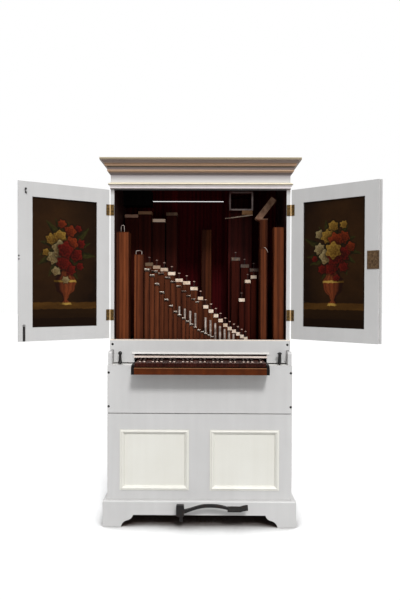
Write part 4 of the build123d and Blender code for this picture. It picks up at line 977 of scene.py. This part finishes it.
def painted_panel(name, side, palette, seed):
    finish = Finish(name, 0.45, mirror=0.04)
    undo = door_place(side).inverted()
    local = stretched(finish.place, turn=undo.to_euler(), move=undo.translation)
    brush_at = axes(wobbled(local))
    across, up = brush_at.x * -side, brush_at.z
    colour = painted_ground(local, across, up)

    def paint(form, middle, height, paints, **sizes):
        """Lay one brush form over the colour so far."""
        feeds = {"Across": across, "Up": up, "From Across": middle, "From Up": height, "Light": paints[0],
                 "Dark": paints[1], "Under": colour}
        feeds.update({label.replace("_", " "): value for label, value in sizes.items()})
        return use(finish.tree, form, feeds)["Color"]

    hand = random.Random(seed)
    for index in range(LEAVES):
        turn = index * math.tau / LEAVES + hand.uniform(-TURN_SPREAD, TURN_SPREAD)
        root = PANEL_MIDDLE + ROOTS_ASIDE * math.cos(turn), BUNCH_HEART + ROOTS_UP * math.sin(turn)
        colour = paint(leaf, *root, OLIVE, Turn=turn, Length=hand.uniform(*LEAF_LONG),
                       Width=hand.uniform(*LEAF_WIDE))
    colour = paint(urn, PANEL_MIDDLE, LEDGE_TOP - URN_SUNK, CLAY, Height=URN_HEIGHT, Half_Width=URN_HALF)
    for index in reversed(range(FLOWERS)):
        out = BLOOM_SPACING * math.sqrt(index)
        turn = index * GOLDEN_ANGLE + seed
        size = BLOOM_SIZE - BLOOM_SHRINK * index + hand.uniform(-SIZE_SPREAD, SIZE_SPREAD)
        colour = paint(bloom, PANEL_MIDDLE + out * math.cos(turn) * BUNCH_WIDE,
                       BUNCH_HEART + out * math.sin(turn) * BUNCH_TALL, palette[index % len(palette)],
                       Turn=hand.uniform(0, math.tau), Radius=size, Petals=float(hand.choice((5, 6, 7))))

    strokes = noise(stretched(local, (1.0, 1.0, 0.5)), 150.0, 4.0, 0.65)
    colour = mix(between(strokes, 0.35, 0.7, 0.0, 0.22), colour, tone(42, 24, 12))
    colour = mix(VARNISH_DEPTH, colour, tone(14, 4, 0))
    plain = mix(use(finish.tree, brushed, {"Vector": finish.place})["Cloud"], CASE_PAINT[1], CASE_PAINT[0])
    colour = mix(axes(local).y < PANEL_CORE, colour, plain)
    return finish.lay(colour, between(strokes, 0.3, 0.7, 0.36, 0.52), strokes, 0.3, 0.0005)


left_painting = painted_panel("left_painting", -1, (CRIMSON, IVORY, RUSSET, CRIMSON, SAFFRON), 4)
right_painting = painted_panel("right_painting", 1, (SAFFRON, CRIMSON, RUSSET, IVORY, CRIMSON), 9)
print("painted panels:", left_painting.name, right_painting.name)

# %% [markdown]
# A frame piece keeps its own mesh and only changes its finish, which is set on its material slots. The
# list below names every piece once, so a missing one would show at once in the count.

# %% Give every frame piece its finish
FINISHES = [
    (side_board, "left_side right_side"),
    (frieze_paint, "frieze_board"),
    (nameboard_paint, "nameboard"),
    (case_grey, "lower_front_board lower_stiles lower_rails plinth_front plinth_sides left_door_stiles "
                "left_door_rails right_door_stiles right_door_rails"),
    (panel_cream, "lower_panels panel_mouldings"),
    (listel_white_lit, "nameboard_listel stop_ledges"),
    (bead_finish, "bead_moulding"),
    (cornice_finish, "cornice"),
    (back_wood, "lower_back upper_back wind_chest"),
    (shelf_wood, "bottom_board top_board foot_blocks key_shelf key_frame"),
    (ebony_keys, "natural_keys"),
    (block_black, "key_blocks"),
    (sharp_finish, "sharp_keys"),
    (amber_rail, "key_slip"),
    (pale_lit_batten, "key_batten"),
    (left_painting, "left_door_panel"),
    (right_painting, "right_door_panel"),
    (black_iron, "left_door_bolts left_stop_lever right_stop_lever stop_brackets pedal_bar pedal_arm "
                 "pedal_bracket"),
    (brass, "left_door_hinge_leaves right_door_hinge_leaves jamb_hinge_leaves"),
    (lock_brown, "right_door_lock"),
    (pipe_wood, "main_pipes front_pipes middle_pipes"),
    (tall_pipe_wood, "tall_pipes"),
    (dark_pipe_wood, "rear_pipes right_pipes"),
    (mitred_wood, "right_mitred_pipe"),
    (stem_wood, "stopper_handles"),
    (black_wood, "left_bass_limb"),
    (cap_leather, "main_stoppers"),
    (right_leather, "right_stoppers"),
    (rear_leather, "rear_stoppers"),
    (lead_flap, "front_flaps"),
    (tin_and_lead, "metal_pipes"),
]


def dress(piece, material):
    """Put a finish on every slot of a piece."""
    if not piece.material_slots:
        piece.data.materials.append(material)
    for slot in piece.material_slots:
        slot.material = material


dressed = []
for material, names in FINISHES:
    for name in names.split():
        dress(frame["nodes"][name], material)
        dressed.append(name)
print("dressed", len(dressed), "not dressed:", sorted(set(frame["nodes"]) - set(dressed)))

# %% [markdown]
# What repeats is made once and set out by Geometry Nodes. A tree gets a mesh of loose points or lines, puts
# a screw head, an arch or a wire on it, and ends in one plain mesh that rides with its part of the organ.

# %% Helpers for Geometry Nodes
def piece_tree(name, inputs):
    """A Geometry Nodes tree that takes a mesh and named inputs, given as (name, kind)."""
    tree = bpy.data.node_groups.new(name, "GeometryNodeTree")
    tree.interface.new_socket("Geometry", in_out="INPUT", socket_type="NodeSocketGeometry")
    for label, kind in inputs + [("Finish", "Material")]:
        tree.interface.new_socket(label, in_out="INPUT", socket_type="NodeSocket" + kind)
    tree.interface.new_socket("Geometry", in_out="OUTPUT", socket_type="NodeSocketGeometry")
    return tree, *ends(tree)


def finish_tree(tree, got, end, instances):
    real = made(tree, "GeometryNodeRealizeInstances", "Geometry", {"Geometry": instances})
    give(end, Geometry=made(tree, "GeometryNodeSetMaterial", "Geometry", {
        "Geometry": real, "Material": got["Finish"]}))


def three(tree, x=0.0, y=0.0, z=0.0):
    """Three numbers as one vector."""
    return made(tree, "ShaderNodeCombineXYZ", 0, {"X": x, "Y": y, "Z": z})


def scattered(tree, got, instance, facing=(0.0, 0.0, 0.0)):
    """An instance on every point of the incoming mesh."""
    return made(tree, "GeometryNodeInstanceOnPoints", "Instances", {
        "Points": got["Geometry"], "Instance": instance, "Rotation": facing})


def grow(name, points, tree, settings, finish, body, lines=()):
    """Run a tree on loose points or lines and keep the result as a plain mesh on one body."""
    seed_mesh = bpy.data.meshes.new(name + "_points")
    seed_mesh.from_pydata([tuple(point) for point in points], list(lines), [])
    seed = stand(name + "_points", seed_mesh)
    modifier = seed.modifiers.new("grow", "NODES")
    modifier.node_group = tree
    sockets = {item.name: item.identifier for item in tree.interface.items_tree if item.in_out == "INPUT"}
    for label, value in {**settings, "Finish": finish}.items():
        modifier[sockets[label]] = value
    evaluated = seed.evaluated_get(bpy.context.evaluated_depsgraph_get())
    mesh = bpy.data.meshes.new_from_object(evaluated)
    mesh.name = name
    bpy.data.objects.remove(seed)
    piece = stand(name, mesh)
    dress(piece, finish)
    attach(piece, body)
    print(name, len(mesh.polygons), "faces on", body)


print("piece helpers ready")

# %% [markdown]
# A hand filed screw has a low domed head with one slot, and no two slots point the same way. The dome is a
# flattened ball sunk to its middle in the wood, and a thin block cut out of it leaves the slot.

# %% Slotted screws
SLOT_LONG, SLOT_WIDE, SLOT_UP = 3.0, 0.28, 0.85

screws, got, end = piece_tree("slotted_screws", [("Head Radius", "Float"), ("Dome", "Float"),
                                                 ("Facing", "Vector")])
radius, dome = got["Head Radius"], got["Dome"]
ball = made(screws, "GeometryNodeMeshUVSphere", "Mesh", {"Segments": 20, "Rings": 12, "Radius": 1.0})
head = made(screws, "GeometryNodeTransform", "Geometry", {
    "Geometry": ball, "Scale": three(screws, radius, radius, dome)})
cutter = made(screws, "GeometryNodeMeshCube", "Mesh", {
    "Size": three(screws, radius * SLOT_LONG, radius * SLOT_WIDE, dome)})
cutter = made(screws, "GeometryNodeTransform", "Geometry", {
    "Geometry": cutter, "Translation": three(screws, z=dome * SLOT_UP)})
slotted = put(screws, "GeometryNodeMeshBoolean", operation="DIFFERENCE")
feed(screws, head, slotted.inputs["Mesh 1"])
feed(screws, cutter, slotted.inputs["Mesh 2"])
any_turn = put(screws, "FunctionNodeRandomValue", {"Max": math.pi, "Seed": 5}, data_type="FLOAT")
turned_out = made(screws, "GeometryNodeRotateInstances", "Instances", {
    "Instances": scattered(screws, got, slotted.outputs["Mesh"], got["Facing"]),
    "Rotation": three(screws, z=any_turn.outputs["Value"])})
finish_tree(screws, got, end, turned_out)


def set_screws(name, points, head, facing, finish, body):
    """Set screws at points; a head is its radius and the height of its dome."""
    radius, dome = head
    grow(name, points, screws, {"Head Radius": radius, "Dome": dome, "Facing": facing}, finish, body)


FORWARD = (QUARTER, 0.0, 0.0)
FRONT_HEAD = (0.0066, 0.0018)
STILE_SCREW, STILE_LEVELS = 0.4935, (0.831, 0.647)
NAMEBOARD_SCREW, NAMEBOARD_LEVEL = 0.4847, 0.978
nameboard_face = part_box("nameboard")[0].y - FRONT_FACE
front_screws = [spot(side * STILE_SCREW, 0, up) for side in (-1, 1) for up in STILE_LEVELS]
front_screws += [spot(side * NAMEBOARD_SCREW, nameboard_face, NAMEBOARD_LEVEL) for side in (-1, 1)]
set_screws("front_screws", front_screws, FRONT_HEAD, FORWARD, block_black, "case")

# %% [markdown]
# Each hinge leaf is held by three small screws and the lock plate by four. They are set out on the closed
# door, in the door's own lines, and then carried to where the door stands. A screw lies with its head
# towards the room when the door is open, which is towards the pipes when it is closed.

# %% Hinge and lock screws
HINGE_HEAD, LOCK_HEAD = (0.0032, 0.0009), (0.003, 0.0009)
PLATE_FACE = -0.0005
LEAF_LINE = 0.0145
LEAF_LEVELS = [middle + step for middle in (1.140, 1.724) for step in (-0.021, 0.0, 0.021)]
LOCK_CORNERS = [(across, up) for across in (0.450, 0.494) for up in (1.396, 1.472)]


def door_facing(there):
    """The turn of a screw that looks out of a door's inner face."""
    return (-QUARTER, 0.0, there.to_euler().z)


for side, body, there in ((-1, "left_door", left_place), (1, "right_door", right_place)):
    heads = [there @ Vector((-side * LEAF_LINE, PLATE_FACE, up)) for up in LEAF_LEVELS]
    set_screws(body + "_hinge_screws", heads, HINGE_HEAD, door_facing(there), brass, body)

lock_heads = [right_place @ Vector((-across, PLATE_FACE, up)) for across, up in LOCK_CORNERS]
set_screws("lock_screws", lock_heads, LOCK_HEAD, door_facing(right_place), lock_brown, "right_door")

# %% [markdown]
# The keyhole is dressed by a small plate of its own, a ring with a sunk middle, a little taller than wide.
# It is made in mesh code as one strip of quads per step of its profile.

# %% Keyhole plate
SCUTCHEON = [(0.0135, 0.0), (0.0135, 0.0016), (0.0115, 0.0024), (0.0095, 0.0016), (0.0062, 0.0014),
             (0.0052, 0.0004)]
ROUND_STEPS = 28
TALLER = 1.25
KEYHOLE = (0.466, 1.424)


def keyhole_plate(across, up):
    """The mesh of the plate, round a point of the closed door's inner face."""
    shape = bmesh.new()
    rings = []
    for radius, proud in SCUTCHEON:
        turns = [math.tau * step / ROUND_STEPS for step in range(ROUND_STEPS)]
        rings.append([shape.verts.new(right_place @ Vector((
            -across + radius * math.cos(turn), PLATE_FACE + proud, up + radius * math.sin(turn) * TALLER)))
            for turn in turns])
    for outer, inner in zip(rings, rings[1:]):
        for step in range(ROUND_STEPS):
            after = (step + 1) % ROUND_STEPS
            shape.faces.new((outer[step], inner[step], inner[after], outer[after]))
    shape.faces.new(rings[-1])
    shape.faces.new(list(reversed(rings[0])))
    bmesh.ops.recalc_face_normals(shape, faces=shape.faces)
    mesh = bpy.data.meshes.new("keyhole_plate")
    shape.to_mesh(mesh)
    shape.free()
    return mesh


plate = stand("keyhole_plate", keyhole_plate(*KEYHOLE))
dress(plate, lock_brown)
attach(plate, "right_door")
print("keyhole plate", len(plate.data.polygons), "faces")

# %% [markdown]
# The stoppers of the treble pipes are drawn with little turned knobs. The stems are in the frame; each gets
# a knob like a flattened bead on its cross bar. The stems' own meshes say where they end: a stem is one
# loose part, and the top of that part is its bar.

# %% Stopper knobs
BAR_HALF = 0.0025
KNOB_SIZE = {"Half Length": 0.0078, "Half Height": 0.0036}
DIM_BASS = (CASE_MIDDLE - 0.3, CASE_MIDDLE - 0.05)
KNOB_SHADE_DEPTH = FRONT_FACE + 0.28
TOUCHING, LEVEL = 1e-5, 1e-4

knobs, got, end = piece_tree("stopper_knobs", [("Half Length", "Float"), ("Half Height", "Float")])
ball = made(knobs, "GeometryNodeMeshUVSphere", "Mesh", {"Segments": 14, "Rings": 8, "Radius": 1.0})
bead = made(knobs, "GeometryNodeTransform", "Geometry", {"Geometry": ball, "Scale": three(
    knobs, got["Half Length"], got["Half Height"], got["Half Height"])})
finish_tree(knobs, got, end, scattered(knobs, got, bead))


def loose_tops(node):
    """The middle of the top of every loose part of a node's mesh."""
    shape = bmesh.new()
    shape.from_mesh(frame["nodes"][node].data)
    bmesh.ops.remove_doubles(shape, verts=shape.verts, dist=TOUCHING)
    left = set(shape.verts)
    tops = []
    while left:
        part, edge = set(), [left.pop()]
        while edge:
            vertex = edge.pop()
            part.add(vertex)
            fresh = {link.other_vert(vertex) for link in vertex.link_edges} & left
            left -= fresh
            edge.extend(fresh)
        highest = max(vertex.co.z for vertex in part)
        top = [vertex.co for vertex in part if vertex.co.z > highest - LEVEL]
        tops.append(sum(top, Vector()) / len(top))
    shape.free()
    return sorted(tops, key=lambda top: tuple(round(value, 5) for value in top))


def knob_coat(place, at, colour):
    # Knobs at the bass end are dimmed, and those deep in the chamber are darkened as painted shade.
    bass = between(at.x, *DIM_BASS, 0.7, 0.0)
    return mix(most(bass, (at.y > KNOB_SHADE_DEPTH) * 0.8), colour, tone(74, 54, 52))


knob_wood = repaint(bare_wood("knob_wood", tone(214, 184, 168), tone(168, 138, 124), tone(150, 120, 108),
                              gloss=0.5), knob_coat)
knob_places = [bar - Vector((0, 0, BAR_HALF)) for bar in loose_tops("stopper_handles")]
grow("stopper_knobs", knob_places, knobs, KNOB_SIZE, knob_wood, "case")

# %% [markdown]
# The fronts of the naturals carry turned arches, cut with a scraper in old work. Two rings of half-round
# moulding, one in the other, stand on every front.

# %% Arches on the key fronts
NATURALS = 30
KEY_GAP = 0.0009
LIP = 0.003
ARCH_UP = 0.004
ARCH_SIZE = {"Outer": 0.0088, "Inner": 0.0052, "Thickness": 0.0011}


def round_section(tree, sides, radius):
    return made(tree, "GeometryNodeCurvePrimitiveCircle", "Curve", {"Resolution": sides, "Radius": radius},
                mode="RADIUS")


arches, got, end = piece_tree("key_arches", [
    ("Outer", "Float"), ("Inner", "Float"), ("Thickness", "Float")])
section = round_section(arches, 6, got["Thickness"])
both = put(arches, "GeometryNodeJoinGeometry")
for ring in ("Outer", "Inner"):
    arc = made(arches, "GeometryNodeCurveArc", "Curve", {
        "Resolution": 14, "Radius": got[ring], "Start Angle": 0.0, "Sweep Angle": math.pi}, mode="RADIUS")
    feed(arches, made(arches, "GeometryNodeCurveToMesh", "Mesh", {"Curve": arc, "Profile Curve": section}),
         both.inputs["Geometry"])
upright = made(arches, "GeometryNodeTransform", "Geometry", {
    "Geometry": both.outputs["Geometry"], "Rotation": FORWARD})
finish_tree(arches, got, end, scattered(arches, got, upright))

keys_low, keys_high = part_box("natural_keys")
key_pitch = (keys_high.x - keys_low.x + KEY_GAP) / NATURALS
arch_feet = [Vector((keys_low.x - KEY_GAP / 2 + (index + 0.5) * key_pitch, keys_low.y + LIP,
                     keys_low.z + ARCH_UP)) for index in range(NATURALS)]
grow("key_front_arches", arch_feet, arches, ARCH_SIZE, ebony_keys, "case")

# %% [markdown]
# Here and there a pipe carries a tuning wire or a pull of bent wire. Each is a chain of points, rounded to
# a smooth line and given its thickness.

# %% Tuning wires and pulls
FEET_SUNK = 0.004

wires, got, end = piece_tree("bent_wires", [("Thickness", "Float")])
line = made(wires, "GeometryNodeMeshToCurve", "Curve", {"Mesh": got["Geometry"]})
spline = made(wires, "GeometryNodeCurveSplineType", "Curve", {"Curve": line}, spline_type="CATMULL_ROM")
smooth = made(wires, "GeometryNodeSetSplineResolution", "Geometry", {"Geometry": spline, "Resolution": 6})
tube = made(wires, "GeometryNodeCurveToMesh", "Mesh", {
    "Curve": smooth, "Profile Curve": round_section(wires, 8, got["Thickness"]), "Fill Caps": True})
finish_tree(wires, got, end, tube)


def bent_wires(name, chains, thickness, finish, body):
    """Bend one wire along each chain of points."""
    points, lines = [], []
    for chain in chains:
        lines += [(len(points) + step, len(points) + step + 1) for step in range(len(chain) - 1)]
        points += chain
    grow(name, points, wires, {"Thickness": thickness}, finish, body, lines)


def staple(across, back, up, half_width, height):
    """A wire bent like a staple, its feet sunk a little in the wood under it."""
    right_half = [(0.6, height), (1, height * 0.7), (1, -FEET_SUNK)]
    left_half = [(-side, rise) for side, rise in reversed(right_half)]
    return [spot(across + half_width * side, back, up + rise) for side, rise in left_half + right_half]


PULL_THICK = 0.0018
UPPER_PULL, LOWER_PULL = (-0.4405, 0.152, 1.609, 0.009, 0.036), (-0.3485, 0.154, 1.482, 0.016, 0.02)
TUNING_WIRE = [(0.360, 0.151, 1.522), (0.366, 0.149, 1.521), (0.374, 0.149, 1.512), (0.381, 0.149, 1.498),
               (0.382, 0.153, 1.494)]
pulls = [staple(*UPPER_PULL), staple(*LOWER_PULL), [spot(*point) for point in TUNING_WIRE]]
bent_wires("pipe_pulls", pulls, PULL_THICK, tin_and_lead, "case")

# %% [markdown]
# A small hook of bent iron holds the left door shut. It hangs between two studs near the door's top corner,
# and two old screw holes in the door's free edge say that a catch was moved once.

# %% Hook on the left door
HOOK_LINE = [(0.462, 0.0035, 1.7995), (0.466, 0.005, 1.796), (0.4665, 0.0055, 1.789), (0.464, 0.005, 1.782),
             (0.460, 0.004, 1.7785), (0.4575, 0.004, 1.781)]
OLD_HOLES = [(0.4965, -0.0026, 1.452), (0.4965, -0.0026, 1.435)]
HOOK_THICK = 0.0019
HOLE_HEAD = (0.0042, 0.0009)
hook = [left_place @ Vector(point) for point in HOOK_LINE]
holes = [left_place @ Vector(point) for point in OLD_HOLES]
bent_wires("left_door_hook", [hook], HOOK_THICK, black_iron, "left_door")
set_screws("left_door_old_holes", holes, HOLE_HEAD, door_facing(left_place), black_iron, "left_door")

# %% [markdown]
# The camera sees a white floor, but the floor sends less light back up than white would, so the soft
# shadows on the organ keep their depth. Right under the plinth little light comes in, and a painted shadow
# turns the floor dark brown there, where ambient occlusion finds it shut in; a step away it is as bright as
# the room.

# %% Floor
FLOOR_HALF = 30
FLOOR_RETURNS = 0.46
SHADE_REACH = 0.2
SHADE_MIDDLE = (0, 0.28, 0)
SHADE_ENDS, WHITE_STARTS = 0.62, 1.05
BLACK, WHITE = (0.0, 0.0, 0.0, 1.0), (1.0, 1.0, 1.0, 1.0)

floor_mesh = bpy.data.meshes.new("floor")
floor_corners = [(x * FLOOR_HALF, y * FLOOR_HALF, 0) for x, y in ((-1, -1), (1, -1), (1, 1), (-1, 1))]
floor_mesh.from_pydata(floor_corners, [], [(0, 1, 2, 3)])
floor = stand("floor", floor_mesh)
paint = Finish("floor_paint", 0.8)
tree = paint.tree
camera_sees = made(tree, "ShaderNodeLightPath", "Is Camera Ray")
open_air = made(tree, "ShaderNodeAmbientOcclusion", "AO", {"Distance": SHADE_REACH}, samples=8)
to_middle = made(tree, "ShaderNodeVectorMath", "Value", {0: paint.place, 1: tuple(spot(*SHADE_MIDDLE))},
                 operation="DISTANCE")
away = between(to_middle, SHADE_ENDS, WHITE_STARTS)
# Painted shadow: dark brown where the floor is shut in under the plinth.
near_colour = mix(between(open_air, 0.36, 0.74, 1.0, 0.0), WHITE, tone(52, 34, 26))
near_colour = mix(1.0 - away, BLACK, near_colour)
feed(tree, mix(camera_sees, (FLOOR_RETURNS, FLOOR_RETURNS, FLOOR_RETURNS, 1.0), near_colour),
     paint.shader.inputs["Base Color"])
paint.shader.inputs["Emission Color"].default_value = WHITE
feed(tree, away * camera_sees, paint.shader.inputs["Emission Strength"])
floor.data.materials.append(paint.material)
print("floor returns", FLOOR_RETURNS)

# %% [markdown]
# The room is white to the camera and in reflections, while the light that it really sheds is plain: strong
# from overhead and faint from the side.

# %% Room
SIDE_LIGHT = 0.16
OVERHEAD_LIGHT = 1.02
ROOM_TONE = (0.98, 0.99, 1.0, 1.0)

world = bpy.data.worlds.new("white_room")
bpy.context.scene.world = world
world.use_nodes = True
tree = world.node_tree
tree.nodes.clear()
ray = {socket.name: Signal(tree, socket) for socket in put(tree, "ShaderNodeLightPath").outputs}
seen = most(ray["Is Camera Ray"], most(ray["Is Glossy Ray"], ray["Is Transmission Ray"]))
toward = axes(made(tree, "ShaderNodeTexCoord", "Generated"))
from_above = between(toward.z, 0.0, 1.0, SIDE_LIGHT, OVERHEAD_LIGHT)
room = put(tree, "ShaderNodeBackground", {"Color": ROOM_TONE, "Strength": from_above})
white = put(tree, "ShaderNodeBackground", {"Color": WHITE, "Strength": 1.0})
either = put(tree, "ShaderNodeMixShader", {0: seen, 1: room.outputs[0], 2: white.outputs[0]})
put(tree, "ShaderNodeOutputWorld", {"Surface": either.outputs[0]})
print("room light from", SIDE_LIGHT, "to", OVERHEAD_LIGHT)

# %% [markdown]
# Two soft suns stand in for a studio's big lamps. The main one is high in front and a little to the right,
# so the key rail throws its shadow down the lower front, the cornice shades the frieze, and the left door
# is lit better than the right one. The weaker one opens up the shadows.

# %% Lamps
LAMPS = [("high_front", (-0.19, 1.0, -1.02), 2.2, 12), ("right_fill", (-0.9, 1.0, -0.3), 0.2, 40)]
for name, toward, strength, width in LAMPS:
    sun = bpy.data.lights.new(name, "SUN")
    sun.energy = strength
    sun.angle = math.radians(width)
    stand(name, sun).rotation_euler = Vector(toward).to_track_quat("-Z", "Y").to_euler()
print("lamps:", len(LAMPS))
